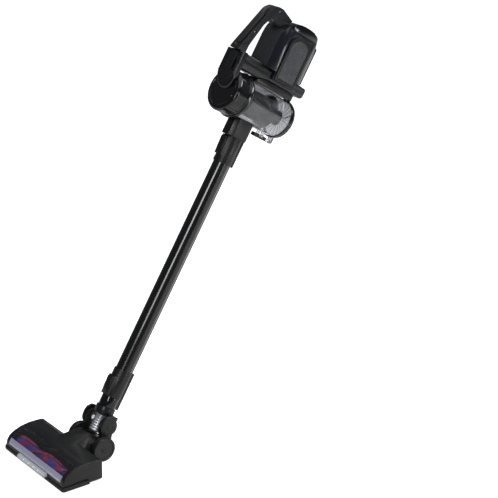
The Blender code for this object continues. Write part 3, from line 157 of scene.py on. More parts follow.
def make_settled_dust():
    """A trace of dust on surfaces that face up, broken up by noise, laid over a colour."""
    group, given, made = new_group(
        "settled_dust",
        [("Colour", COLOUR, (0, 0, 0, 1)), ("Dust Colour", COLOUR, (0.35, 0.34, 0.32, 1)),
         ("Amount", FLOAT, 0.04)],
        [("Colour", COLOUR), ("Mask", FLOAT)])
    coord = add_node(group, "ShaderNodeTexCoord")
    up = add_node(group, "ShaderNodeSeparateXYZ", Vector=coord.outputs["Normal"])
    facing = add_node(group, "ShaderNodeMapRange", Value=up.outputs[2], From_Min=0.1, From_Max=1.0)
    speck = add_node(group, "ShaderNodeTexNoise", Vector=coord.outputs["Object"], Scale=180.0, Detail=6.0,
                     Roughness=0.7)
    speck = add_node(group, "ShaderNodeMapRange", Value=speck.outputs[0], From_Min=0.45, From_Max=0.72)
    both = add_node(group, "ShaderNodeMath", {"operation": "MULTIPLY"}, _0=facing.outputs[0],
                    _1=speck.outputs[0])
    mask = add_node(group, "ShaderNodeMath", {"operation": "MULTIPLY"}, _0=both.outputs[0],
                    _1=given.outputs["Amount"])
    mix = add_node(group, "ShaderNodeMix", {"data_type": "RGBA"}, _0=mask.outputs[0],
                   _6=given.outputs["Colour"], _7=given.outputs["Dust Colour"])
    group.links.new(mix.outputs[2], made.inputs["Colour"])
    group.links.new(mask.outputs[0], made.inputs["Mask"])
    return group


def make_edge_painted_highlight():
    """Painted highlight along edges: a slightly lighter colour where the surface turns sharply, broken up by
    noise.
    """
    group, given, made = new_group(
        "edge_painted_highlight",
        [("Colour", COLOUR, (0, 0, 0, 1)), ("Edge Colour", COLOUR, (0.1, 0.1, 0.1, 1)),
         ("Amount", FLOAT, 0.3)],
        [("Colour", COLOUR), ("Mask", FLOAT)])
    turn = add_node(group, "ShaderNodeNewGeometry").outputs["Pointiness"]
    edge = add_node(group, "ShaderNodeMapRange", Value=turn, From_Min=0.52, From_Max=0.60)
    place = add_node(group, "ShaderNodeTexCoord").outputs["Object"]
    patch = add_node(group, "ShaderNodeTexNoise", Vector=place, Scale=70.0, Detail=4.0)
    patch = add_node(group, "ShaderNodeMapRange", Value=patch.outputs[0], From_Min=0.40, From_Max=0.62)
    # painted highlight mask: sharp edges, broken up by noise
    highlighted = add_node(group, "ShaderNodeMath", {"operation": "MULTIPLY"}, _0=edge.outputs[0],
                    _1=patch.outputs[0])
    mask = add_node(group, "ShaderNodeMath", {"operation": "MULTIPLY"}, _0=highlighted.outputs[0],
                    _1=given.outputs["Amount"])
    mix = add_node(group, "ShaderNodeMix", {"data_type": "RGBA"}, _0=mask.outputs[0],
                   _6=given.outputs["Colour"], _7=given.outputs["Edge Colour"])
    group.links.new(mix.outputs[2], made.inputs["Colour"])
    group.links.new(mask.outputs[0], made.inputs["Mask"])
    return group


GRAIN = make_moulded_grain()
HANDLING = make_handling()
DUST = make_settled_dust()
# EDGE: the node group that paints a lighter highlight colour onto sharp edges
EDGE = make_edge_painted_highlight()


# ------------------------------------------------------------------ materials
def moulded(name, colour, roughness, grain=(0.0006, 0.2, 0.02), marks=(0.05, 0.05), dust=0.03,
            edge=0.25, coat=0.0, specular=0.5, metallic=0.0, sheen=0.0, edge_colour=None):
    """A moulded plastic, rubber or metal finish: grain, handling marks, a painted highlight on sharp edges
    and a trace of dust.
    """
    made = bpy.data.materials.new(name)
    made.use_nodes = True
    tree = made.node_tree
    shader = tree.nodes["Principled BSDF"]
    full = (*colour, 1.0)
    # painted highlight on sharp edges: a lighter copy of the colour, laid on by the amount edge
    bright = (*(edge_colour or [min(1.0, c * 2.2 + 0.02) for c in colour]), 1.0)
    group = {"node_tree": EDGE}
    highlighted = add_node(tree, "ShaderNodeGroup", group, Colour=full, Edge_Colour=bright, Amount=edge)
    dusty = add_node(tree, "ShaderNodeGroup", {"node_tree": DUST}, Colour=highlighted.outputs[0], Amount=dust)
    skin = add_node(tree, "ShaderNodeGroup", {"node_tree": GRAIN}, Grain_Size=grain[0],
                    Grain_Height=grain[1], Waviness=grain[2])
    shine = add_node(tree, "ShaderNodeGroup", {"node_tree": HANDLING}, Roughness=roughness,
                     Smears=marks[0], Scratches=marks[1], Seed=float(len(bpy.data.materials)))
    tree.links.new(dusty.outputs["Colour"], shader.inputs["Base Color"])
    tree.links.new(skin.outputs["Normal"], shader.inputs["Normal"])
    tree.links.new(shine.outputs["Roughness"], shader.inputs["Roughness"])
    shader.inputs["Metallic"].default_value = metallic
    shader.inputs["Coat Weight"].default_value = coat
    shader.inputs["Coat Roughness"].default_value = 0.04
    shader.inputs["Specular IOR Level"].default_value = specular
    shader.inputs["Sheen Weight"].default_value = sheen
    return made


def clear(name, colour, roughness, haze=0.0, alpha=None, ior=1.49):
    """A clear moulded wall with faint smears."""
    made = bpy.data.materials.new(name)
    made.use_nodes = True
    tree = made.node_tree
    shader = tree.nodes["Principled BSDF"]
    skin = add_node(tree, "ShaderNodeGroup", {"node_tree": GRAIN}, Grain_Size=0.004, Grain_Height=0.05,
                    Waviness=0.05)
    shine = add_node(tree, "ShaderNodeGroup", {"node_tree": HANDLING}, Roughness=roughness, Smears=0.06,
                     Scratches=0.10)
    dusty = add_node(tree, "ShaderNodeGroup", {"node_tree": DUST}, Colour=(*colour, 1.0), Amount=haze)
    tree.links.new(dusty.outputs["Colour"], shader.inputs["Base Color"])
    tree.links.new(skin.outputs["Normal"], shader.inputs["Normal"])
    tree.links.new(shine.outputs["Roughness"], shader.inputs["Roughness"])
    shader.inputs["IOR"].default_value = ior
    if alpha is None:
        shader.inputs["Transmission Weight"].default_value = 1.0
    else:
        shader.inputs["Alpha"].default_value = alpha
        shader.inputs["Coat Weight"].default_value = 1.0
        shader.inputs["Coat Roughness"].default_value = 0.03
    return made


GLOSS = moulded("gloss_black_shell", (0.0025, 0.0026, 0.003), 0.10, (0.003, 0.03, 0.05), (0.06, 0.10),
                0.008, 0.06, coat=0.25, specular=0.30)
FLANK = moulded("blue_black_flank", (0.0045, 0.006, 0.0095), 0.17, (0.0015, 0.08, 0.04), (0.08, 0.08),
                0.01, 0.10, coat=0.15, specular=0.30)
SHELL = moulded("housing_top_grey", (0.020, 0.021, 0.023), 0.42, (0.0009, 0.35, 0.04), (0.08, 0.05),
                0.03, 0.15, specular=0.35)
SATIN = moulded("satin_black_plastic", (0.0045, 0.0048, 0.0052), 0.32, (0.0007, 0.20, 0.03),
                (0.10, 0.05), 0.012, 0.12, specular=0.32)
MATT = moulded("textured_black_plastic", (0.007, 0.007, 0.0075), 0.46, (0.0009, 0.5, 0.02),
               (0.10, 0.05), 0.02, 0.15, specular=0.30)
TUBE = moulded("wand_lacquer", (0.003, 0.003, 0.0034), 0.17, (0.002, 0.05, 0.03), (0.08, 0.12), 0.01,
               0.06, coat=0.2, specular=0.35)
HANDLE = moulded("handle_satin", (0.006, 0.0065, 0.0075), 0.28, (0.0008, 0.15, 0.02), (0.10, 0.06),
                 0.01, 0.12, specular=0.35)
LATTICE_GREY = moulded("vent_lattice_grey", (0.050, 0.053, 0.058), 0.30, (0.0009, 0.2, 0.02),
                       (0.10, 0.05), 0.02, 0.2)
RUBBER = moulded("soft_grip_rubber", (0.009, 0.009, 0.009), 0.62, (0.0010, 0.7, 0.02), (0.12, 0.02),
                 0.03, 0.15, specular=0.25)
TREAD = moulded("wheel_tread", (0.006, 0.006, 0.0065), 0.35, (0.0012, 0.3, 0.02), (0.15, 0.08), 0.03,
                0.2, specular=0.35)
SPECKLED = moulded("wheel_disc_texture", (0.012, 0.0125, 0.0135), 0.50, (0.0016, 1.0, 0.02),
                   (0.1, 0.02), 0.03, 0.2, specular=0.35)
STEEL = moulded("bright_steel", (0.62, 0.62, 0.64), 0.22, (0.0005, 0.2, 0.01), (0.10, 0.15), 0.02, 0.1,
                metallic=1.0)
SILVER = moulded("silvered_hose", (0.50, 0.51, 0.54), 0.26, (0.0008, 0.3, 0.03), (0.12, 0.10), 0.03,
                 0.3, metallic=0.75)
VIOLET = moulded("violet_roller_plastic", (0.075, 0.045, 0.30), 0.34, (0.0010, 0.3, 0.02), (0.1, 0.05),
                 0.03, 0.3)
BRISTLE = moulded("crimson_bristle", (0.36, 0.015, 0.06), 0.60, (0.0005, 1.0, 0.05), (0.1, 0.1), 0.05,
                  0.4, sheen=0.3)
DIFFUSER = clear("lilac_grey_diffuser", (0.34, 0.345, 0.46), 0.14, 0.05, alpha=0.80)
LAMP = moulded("lamp_white_enamel", (0.85, 0.86, 0.90), 0.25, (0.001, 0.1, 0.0), (0.03, 0.0), 0.0, 0.0)
LENS = clear("lamp_bar_plastic", (0.66, 0.67, 0.72), 0.06, 0.05, alpha=0.55)
PAPER = moulded("pleated_paper", (0.75, 0.74, 0.70), 0.8, (0.0006, 0.8, 0.1), (0.05, 0.0), 0.1, 0.1)
BOARD = moulded("green_circuit_board", (0.02, 0.16, 0.05), 0.35, (0.002, 0.5, 0.02), (0.05, 0.0), 0.02,
                0.1)
BATTERY = moulded("blue_battery_wrap", (0.04, 0.10, 0.28), 0.30, (0.002, 0.2, 0.1), (0.05, 0.0), 0.02,
                  0.1)
SMOKE = clear("smoked_clear_plastic", (0.80, 0.82, 0.84), 0.03, 0.05)
WINDOW = clear("brush_window_plastic", (0.86, 0.87, 0.90), 0.03, 0.03)
SCREEN = moulded("filter_screen", (0.050, 0.050, 0.052), 0.36, (0.0007, 0.6, 0.03), (0.1, 0.1), 0.10,
                 0.2, metallic=0.25)
VORTEX = moulded("vortex_grey_plastic", (0.040, 0.041, 0.043), 0.30, (0.0008, 0.2, 0.03), (0.1, 0.05),
                 0.06, 0.2)
PRINT = moulded("fill_line_print", (0.80, 0.80, 0.80), 0.5, (0.0006, 0.3, 0.0), (0.1, 0.0), 0.0, 0.0)


# ------------------------------------------------------------------ modelling helpers
def let_go():
    if bpy.context.object and bpy.context.object.mode != "OBJECT":
        bpy.ops.object.mode_set(mode="OBJECT")
    bpy.ops.object.select_all(action="DESELECT")


def take(obj):
    let_go()
    obj.select_set(True)
    bpy.context.view_layer.objects.active = obj
    return obj


def edit(obj, kind="FACE"):
    take(obj)
    bpy.ops.object.mode_set(mode="EDIT")
    bpy.ops.mesh.select_mode(type=kind)
    bpy.ops.mesh.select_all(action="DESELECT")
    return bmesh.from_edit_mesh(obj.data)


def pick_faces(obj, test):
    """Select the faces of obj, in edit mode, whose middle and normal pass the test."""
    mesh = bmesh.from_edit_mesh(obj.data)
    mesh.normal_update()
    for face in mesh.faces:
        face.select_set(test(face.calc_center_median(), face.normal))
    bmesh.update_edit_mesh(obj.data)


def leave():
    bpy.ops.object.mode_set(mode="OBJECT")


def apply_bevel(obj, width, segments=2, angle=35):
    take(obj)
    step = obj.modifiers.new("rounded_edges", "BEVEL")
    step.width = width
    step.segments = segments
    step.limit_method = "ANGLE"
    step.angle_limit = math.radians(angle)
    step.harden_normals = False
    bpy.ops.object.modifier_apply(modifier=step.name)
    return obj


def smooth(obj, angle=38):
    take(obj)
    bpy.ops.object.shade_smooth_by_angle(angle=math.radians(angle))
    return obj


def turned(name, profile, sides=64, closed=False):
    """Turn (radius, height) pairs about z, by extruding a ring of edges step by step."""
    let_go()
    radius, height = profile[0]
    bpy.ops.mesh.primitive_circle_add(vertices=sides, radius=1.0, location=(0, 0, 0))
    obj = bpy.context.object
    obj.name = obj.data.name = name
    bpy.ops.object.mode_set(mode="EDIT")
    bpy.ops.mesh.select_all(action="SELECT")
    bpy.ops.transform.resize(value=(max(radius, 1e-5),) * 2 + (1,), center_override=(0, 0, 0))
    bpy.ops.transform.translate(value=(0, 0, height))
    if not closed and radius > 1e-4:
        bpy.ops.mesh.edge_face_add()
        pick_faces(obj, lambda middle, normal: True)
        bpy.ops.mesh.select_mode(type="FACE")
        bpy.ops.mesh.select_mode(type="EDGE")
    for wide, high in profile[1:]:
        bpy.ops.mesh.extrude_edges_move(TRANSFORM_OT_translate={"value": (0, 0, high - height)})
        share = max(wide, 1e-5) / max(radius, 1e-5)
        bpy.ops.transform.resize(value=(share, share, 1), center_override=(0, 0, high))
        radius, height = wide, high
    if not closed and radius > 1e-4:
        bpy.ops.mesh.edge_face_add()
    bpy.ops.mesh.select_all(action="SELECT")
    bpy.ops.mesh.remove_doubles(threshold=2e-5)
    bpy.ops.mesh.normals_make_consistent(inside=False)
    leave()
    return obj


def plate(name, outline, depth, start=0.0):
    """Raise an outline of (x, y) points to a solid from z start to start plus depth."""
    let_go()
    bpy.ops.mesh.primitive_plane_add(size=1.0, location=(0, 0, 0))
    obj = bpy.context.object
    obj.name = obj.data.name = name
    bpy.ops.object.mode_set(mode="EDIT")
    bpy.ops.mesh.select_all(action="SELECT")
    bpy.ops.mesh.merge(type="CENTER")
    bpy.ops.mesh.select_mode(type="VERT")
    bpy.ops.mesh.select_all(action="SELECT")
    last = Vector((0, 0, 0))
    first = Vector((*outline[0], start))
    bpy.ops.transform.translate(value=first - last)
    last = first
    for x, y in outline[1:]:
        spot = Vector((x, y, start))
        bpy.ops.mesh.extrude_region_move(TRANSFORM_OT_translate={"value": spot - last})
        last = spot
    bpy.ops.mesh.select_all(action="SELECT")
    bpy.ops.mesh.edge_face_add()
    bpy.ops.mesh.select_all(action="SELECT")
    bpy.ops.mesh.extrude_region_move(TRANSFORM_OT_translate={"value": (0, 0, depth)})
    bpy.ops.mesh.select_all(action="SELECT")
    bpy.ops.mesh.remove_doubles(threshold=1e-6)
    bpy.ops.mesh.normals_make_consistent(inside=False)
    leave()
    return obj


def brick(name, low, high, width=0.0, segments=3):
    """A block between two corners with rounded edges."""
    let_go()
    low, high = Vector(low), Vector(high)
    bpy.ops.mesh.primitive_cube_add(size=1.0, location=(low + high) / 2, scale=high - low)
    obj = bpy.context.object
    obj.name = obj.data.name = name
    bpy.ops.object.transform_apply(location=True, rotation=True, scale=True)
    if width:
        apply_bevel(obj, width, segments)
    return obj


def moved(obj, place):
    obj.data.transform(place)
    obj.data.update()
    return obj


def joined(first, *others):
    let_go()
    for other in others:
        other.select_set(True)
    first.select_set(True)
    bpy.context.view_layer.objects.active = first
    bpy.ops.object.join()
    return first


def carve(obj, *tools, operation="DIFFERENCE"):
    for other in tools:
        take(obj)
        step = obj.modifiers.new("carve", "BOOLEAN")
        step.operation = operation
        step.solver = "EXACT"
        step.object = other
        bpy.ops.object.modifier_apply(modifier=step.name)
        bpy.data.objects.remove(other)
    return obj


def from_cad(node, name=None):
    """A merged copy of a CAD node's mesh, with its flat areas made whole faces."""
    let_go()
    source = frame["nodes"][node]
    obj = bpy.data.objects.new(name or node + "_body", source.data.copy())
    bpy.context.scene.collection.objects.link(obj)
    obj.data.materials.clear()
    edit(obj, "VERT")
    bpy.ops.mesh.select_all(action="SELECT")
    bpy.ops.mesh.remove_doubles(threshold=1e-5)
    bpy.ops.mesh.dissolve_limited(angle_limit=math.radians(1.5))
    leave()
    return obj


def finish_piece(obj, body, skin, replaces=(), place=None, angle=38):
    if place is not None:
        moved(obj, place)
    obj.data.materials.clear()
    obj.data.materials.append(skin)
    smooth(obj, angle)
    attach(obj, body)
    if replaces:
        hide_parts(*replaces)
    return obj


# ------------------------------------------------------------------ dust cup and its cap
CUP = WAND @ at(0, CUP_Y, 0)
CAP_LOW, CAP_TOP = heights_on_wand("filter_cap")
RING_LOW, RING_TOP = heights_on_wand("collar_ring")
CUP_LOW = heights_on_wand("dust_cup")[0]
CAP_RADIUS, RING_RADIUS = 0.0505, 0.0530
CUP_WIDE, CUP_NARROW, CUP_WALL = 0.0470, 0.0437, 0.0022      # outer radius at top and base, wall
FILTER_RADIUS = 0.031
SKIRT_RADIUS = 0.0400
VORTEX_RADIUS = 0.0177
FILL_RADIUS, FILL_LEVEL = 0.0448, -0.0628
LID_RIBS = 18


def around(middle):
    """Angle about z of a point, from 0 to 360 degrees."""
    return math.degrees(math.atan2(middle.y, middle.x)) % 360


def make_filter_cap():
    top, low = CAP_TOP, CAP_LOW
    band_top, band_low = top - 0.0092, low + 0.0035
    cap = turned("filter_cap_shell", [
        (0, top), (0.0380, top), (0.0384, top - 0.0004), (0.0394, top - 0.0004), (0.0398, top),
        (0.0435, top), (0.0470, top - 0.0009), (0.0493, top - 0.0030), (CAP_RADIUS, top - 0.0062),
        (CAP_RADIUS, top - 0.0085), (0.0498, band_top), (0.0498, band_low), (CAP_RADIUS, low + 0.0028),
        (CAP_RADIUS, low), (0.0481, low), (0.0481, top - 0.0040), (0.0440, top - 0.0028), (0, top - 0.0028)],
        144)
    edit(cap)
    middle = (band_top + band_low) / 2

    def in_band(point):
        return abs(point.z - middle) < 0.004 and math.hypot(point.x, point.y) > 0.049

    pick_faces(cap, lambda point, normal: in_band(point) and around(point) % 45 < 5)
    bpy.ops.mesh.inset(thickness=0.0001, depth=-0.0011)
    pick_faces(cap, lambda point, normal: in_band(point) and 10 < around(point) % 45 < 40)
    bpy.ops.mesh.inset(thickness=0.0008, depth=-0.0005)
    pick_faces(cap, lambda point, normal: in_band(point) and 12 < around(point) % 45 < 38
               and int(around(point) / 2.5) % 2 == 0)
    bpy.ops.mesh.inset(thickness=0.0003, depth=0.0003, use_individual=True)
    leave()
    finish_piece(cap, "wand_unit", GLOSS, ["filter_cap"], CUP, 30)


def make_collar():
    inner = CUP_WIDE + 0.0003
    top, low = RING_TOP, RING_LOW
    ring = turned("collar_ring_shell", [
        (inner, top), (0.0508, top), (0.0524, top - 0.0012), (RING_RADIUS, top - 0.0034),
        (RING_RADIUS, top - 0.0056), (0.0520, top - 0.0076), (0.0500, top - 0.0084), (0.0498, low + 0.0006),
        (0.0492, low), (inner, low), (inner, top)], 96, closed=True)
    finish_piece(ring, "wand_unit", GLOSS, ["collar_ring"], CUP, 30)


def make_cup():
    top, low, wall = RING_TOP, CUP_LOW, CUP_WALL
    cup = turned("dust_cup_wall", [
        (CUP_WIDE, top), (CUP_WIDE, RING_LOW - 0.003), (CUP_WIDE + 0.0008, RING_LOW - 0.0036),
        (CUP_WIDE + 0.0008, RING_LOW - 0.0048), (CUP_WIDE, RING_LOW - 0.0054), (CUP_NARROW, low),
        (CUP_NARROW - wall, low), (CUP_WIDE - wall, RING_LOW), (CUP_WIDE - wall, top), (CUP_WIDE, top)], 96,
        closed=True)
    pivot = WAND.inverted() @ Vector(JOINTS["cup_latch_pivot"]["pos_m"]) - Vector((0, CUP_Y, 0))
    for side in (-1, 1):
        edges = sorted((side * 0.0068, side * 0.0098))
        lug = brick("lug", (edges[0], pivot.y - 0.0025, pivot.z - 0.005),
                    (edges[1], -CUP_NARROW - 0.0002, pivot.z + 0.005), 0.0006)
        carve(cup, lug, operation="UNION")
    carve(cup, brick("duct_room", (-0.0203, -0.060, -0.0243), (0.0203, -0.030, 0.0293)))
    finish_piece(cup, "wand_unit", SMOKE, ["dust_cup"], CUP, 30)
    mark = turned("cup_fill_line", [
        (FILL_RADIUS - 0.0003, FILL_LEVEL), (FILL_RADIUS, FILL_LEVEL), (FILL_RADIUS, FILL_LEVEL - 0.001),
        (FILL_RADIUS - 0.0003, FILL_LEVEL - 0.001), (FILL_RADIUS - 0.0003, FILL_LEVEL)], 180, closed=True)
    edit(mark, "VERT")
    mesh = bmesh.from_edit_mesh(mark.data)
    for vert in mesh.verts:
        vert.select_set(not 20 < around(vert.co) < 52)
    bpy.ops.mesh.delete(type="VERT")
    bpy.ops.mesh.select_all(action="SELECT")
    bpy.ops.mesh.fill_holes(sides=8)
    leave()
    finish_piece(mark, "wand_unit", PRINT, (), CUP, 30)


def make_filter_screen():
    top, low = RING_TOP, heights_on_wand("mesh_filter")[0]
    radius = FILTER_RADIUS
    steps = 34
    flange = CUP_WIDE - CUP_WALL - 0.0003
    wall = [(radius, top - 0.003 - (top - 0.003 - low) * i / steps) for i in range(steps + 1)]
    rolled = [(flange, top), (flange, top - 0.002), (radius + 0.001, top - 0.002)]
    inside = [(radius - 0.0016, low), (radius - 0.0016, top), (flange, top)]
    screen = turned("filter_screen_body", rolled + wall + inside, 108, closed=True)
    edit(screen)
    pick_faces(screen, lambda point, normal: low + 0.004 < point.z < top - 0.010
               and math.hypot(point.x, point.y) > radius - 0.0006
               and int(around(point) / (360 / 108)) % 2 == 0
               and int((top - 0.003 - point.z) / ((top - 0.003 - low) / steps)) % 2 == 0)
    bpy.ops.mesh.inset(thickness=0.0002, depth=-0.0006, use_individual=True)
    leave()
    finish_piece(screen, "wand_unit", SCREEN, ["mesh_filter"], CUP, 30)
    low, top = heights_on_wand("cyclone_skirt")
    skirt = turned("cyclone_skirt_cone", [
        (radius, top), (radius + 0.0006, top - 0.001), (SKIRT_RADIUS - 0.0005, low + 0.0045),
        (SKIRT_RADIUS, low + 0.0035), (SKIRT_RADIUS, low), (SKIRT_RADIUS - 0.002, low),
        (SKIRT_RADIUS - 0.002, low + 0.0030), (radius - 0.001, top - 0.0025),
        (0.0180, top - 0.0025), (0.0180, top), (radius, top)], 96, closed=True)
    finish_piece(skirt, "wand_unit", VORTEX, ["cyclone_skirt"], CUP, 30)
    low, top = heights_on_wand("vortex_tube")
    tube = turned("vortex_tube_body", [
        (VORTEX_RADIUS, top), (VORTEX_RADIUS, low + 0.030), (0.0172, low + 0.0295), (0.0170, low + 0.003),
        (0.0176, low + 0.0026), (0.0176, low), (0.0150, low), (0.0152, top), (VORTEX_RADIUS, top)],
        64, closed=True)
    finish_piece(tube, "wand_unit", VORTEX, ["vortex_tube"], CUP, 30)


def make_base_lid():
    rim = from_cad("cup_rim")
    apply_bevel(rim, 0.0005, 2, 40)
    finish_piece(rim, "wand_unit", GLOSS, ["cup_rim"])
    lid = from_cad("base_lid")
    spokes = []
    for i in range(LID_RIBS):
        spoke = brick("spoke", (0.012, -0.0005, -0.0005), (0.0395, 0.0005, 0.0009), 0.0002, 1)
        spokes.append(moved(spoke, Matrix.Rotation(math.radians(360 / LID_RIBS * (i + 0.5)), 4, "Z")))
    hub = turned("lid_hub", [(0.0100, -0.0004), (0.0112, -0.0004), (0.0112, 0.0008), (0.0100, 0.0008),
                             (0.0100, -0.0004)], 48, closed=True)
    star = moved(joined(hub, *spokes), CUP @ at(0, 0, CUP_LOW - 0.0003))
    carve(lid, star, operation="UNION")
    finish_piece(lid, "base_lid", SMOKE, ["base_lid"])


def make_latch():
    latch = from_cad("cup_latch")
    apply_bevel(latch, 0.0012, 3, 40)
    finish_piece(latch, "cup_latch", SATIN, ["cup_latch"])
    latch_low, latch_high = heights_on_wand("cup_latch")
    share = latch_low + 0.30 * (latch_high - latch_low)
    take(latch)
    bpy.ops.object.mode_set(mode="EDIT")
    bpy.ops.mesh.select_all(action="SELECT")
    bpy.ops.mesh.bisect(plane_co=WAND @ Vector((0, 0, share)), plane_no=OUT_OF_WAND)
    leave()
    two_tone(latch, WINDOW, lambda spot, facing: spot.z < share)
    box_low, box_high = box_on_wand("cup_latch")
    pad = []
    for i in range(5):
        level = box_high.z - 0.004 - 0.0024 * i
        pad.append(brick("latch_rib", (-0.0052, box_low.y - 0.0005, level - 0.0006),
                         (0.0052, box_low.y + 0.0008, level + 0.0006), 0.0003, 2))
    finish_piece(joined(*pad), "cup_latch", SATIN, (), WAND)


# ------------------------------------------------------------------ hand unit
def hand(y):
    return CUP_Y + y


def two_tone(piece, extra, test):
    """Give the faces that pass the test a second finish."""
    piece.data.materials.append(extra)
    inward = WAND.inverted()
    turn = inward.to_3x3()
    for face in piece.data.polygons:
        if test(inward @ face.center, turn @ face.normal):
            face.material_index = len(piece.data.materials) - 1


def screw_head(name, place, body, radius=0.0026):
    """A cross-slot screw that looks along +z, at the bottom of its recess."""
    head = turned(name, [(0, 0.0008), (radius * 0.7, 0.0007), (radius, 0.0002), (radius, -0.001),
                         (0, -0.001)], 24)
    for angle in (0, math.pi / 2):
        slot = brick("slot", (-radius * 0.7, -0.0003, 0.0002), (radius * 0.7, 0.0003, 0.002))
        carve(head, moved(slot, Matrix.Rotation(angle + 0.4, 4, "Z")))
    finish_piece(head, body, STEEL, (), place)


HANDLE_SCREWS = [(hand(0.140), 0.0845), (hand(0.2075), 0.0440)]
RAIL_SCREWS = [(hand(0.1720), -0.0955), (hand(0.0965), -0.0955)]


HAND_EDGE = 0.0058               # rounding of the edges that the hand meets


def make_handle():
    high = box_on_wand("handle_right")[1]
    for node, side in (("handle_left", -1), ("handle_right", 1)):
        half = from_cad(node)
        moved(half, WAND.inverted())
        edit(half, "EDGE")
        mesh = bmesh.from_edit_mesh(half.data)
        for edge in mesh.edges:
            edge.select_set(all(abs(v.co.x) > high.x - 0.0002 for v in edge.verts)
                            and edge.calc_face_angle(0) > 0.5)
        bmesh.update_edit_mesh(half.data)
        bpy.ops.mesh.bevel(offset=HAND_EDGE, segments=6, clamp_overlap=True)
        leave()
        apply_bevel(half, 0.0004, 1, 50)
        moved(half, WAND)
        for y, z in HANDLE_SCREWS:
            place = WAND @ at(side * high.x, y, z) @ (TURN_X if side > 0 else TURN_X.inverted())
            carve(half, moved(turned("bore", [(0, 0.01), (0.0034, 0.01), (0.0034, -0.004), (0, -0.004)], 28),
                              place))
            screw_head(node + "_screw", place @ at(0, 0, -0.0032), "wand_unit")
        finish_piece(half, "wand_unit", HANDLE, [node])
    grip = from_cad("grip_strip")
    apply_bevel(grip, 0.0008, 2, 40)
    finish_piece(grip, "wand_unit", RUBBER, ["grip_strip"])


LATTICE_PITCH, LATTICE_BAR, LATTICE_LEAN = 0.0034, 0.0014, 38
BEZEL = 0.0068                   # width of the vent's frame
VENT_CORNER = 0.019
FLOOR_DEPTH = 0.0027             # the vent's floor below its frame


def make_grille(node, side):
    """The D-shaped vent: its moulded bezel, and a lattice of fine slanting bars."""
    bezel = from_cad(node)
    apply_bevel(bezel, 0.0011, 3, 40)
    finish_piece(bezel, "wand_unit", SATIN, [node])
    low, high = box_on_wand(node)
    outer = high.x if side > 0 else -low.x
    front, rear, base, top = low.y + BEZEL, high.y - BEZEL, low.z + BEZEL, high.z - BEZEL
    corner = VENT_CORNER
    outline = [(front, base), (front, top)]
    for i in range(9):
        a = math.radians(90 - 90 * i / 8)
        outline.append((rear - corner + corner * math.cos(a), top - corner + corner * math.sin(a)))
    for i in range(9):
        a = math.radians(-90 * i / 8)
        outline.append((rear - corner + corner * math.cos(a), base + corner + corner * math.sin(a)))
    middle = ((front + rear) / 2, (base + top) / 2)
    for lean, floor in ((LATTICE_LEAN, outer - FLOOR_DEPTH), (-LATTICE_LEAN, outer - FLOOR_DEPTH + 0.0002)):
        bars = []
        reach = 0.075
        for i in range(-26, 27):
            middle_x, half = i * LATTICE_PITCH, LATTICE_BAR / 2
            bar = brick("bar", (middle_x - half, -reach, 0.0), (middle_x + half, reach, LATTICE_BAR))
            bars.append(bar)
        sheet = joined(*bars)
        moved(sheet, at(*middle, floor) @ Matrix.Rotation(math.radians(lean), 4, "Z"))
        mask = plate("mask", outline, 0.01, floor - 0.005)
        carve(sheet, mask, operation="INTERSECT")
        to_side = Matrix(((0, 0, side, 0), (1, 0, 0, 0), (0, 1, 0, 0), (0, 0, 0, 1)))
        moved(sheet, to_side)
        if side < 0:
            take(sheet)
            bpy.ops.object.mode_set(mode="EDIT")
            bpy.ops.mesh.select_all(action="SELECT")
            bpy.ops.mesh.flip_normals()
            leave()
        sheet.name = node + ("_bars_up" if lean > 0 else "_bars_down")
        finish_piece(sheet, "wand_unit", LATTICE_GREY, (), WAND)


def make_housing():
    housing = from_cad("motor_housing")
    apply_bevel(housing, 0.0008, 2, 40)
    finish_piece(housing, "wand_unit", FLANK, ["motor_housing"])
    two_tone(housing, SHELL, lambda spot, facing: facing.z > 0.93 and spot.z > 0.02)
    cover = from_cad("rear_cover")
    apply_bevel(cover, 0.0006, 2, 40)
    finish_piece(cover, "wand_unit", GLOSS, ["rear_cover"])
    make_grille("vent_grille_right", 1)
    make_grille("vent_grille_left", -1)
    rail = from_cad("battery_rail")
    apply_bevel(rail, 0.0010, 2, 40)
    high = box_on_wand("battery_rail")[1]
    for side in (-1, 1):
        for y, z in RAIL_SCREWS:
            place = WAND @ at(side * high.x, y, z) @ (TURN_X if side > 0 else TURN_X.inverted())
            carve(rail, moved(turned("bore", [(0, 0.01), (0.0030, 0.01), (0.0030, -0.004), (0, -0.004)], 28),
                              place))
            screw_head("rail_screw", place @ at(0, 0, -0.0032), "wand_unit", 0.0022)
    finish_piece(rail, "wand_unit", SATIN, ["battery_rail"])


def oval(across, along, count=20):
    """Outline of a button with two round ends, along y."""
    points = []
    for end, start in ((1, 0), (-1, 180)):
        for i in range(count + 1):
            a = math.radians(start + 180 * i / count)
            points.append((across * math.cos(a), end * (along - across) + across * math.sin(a)))
    return points


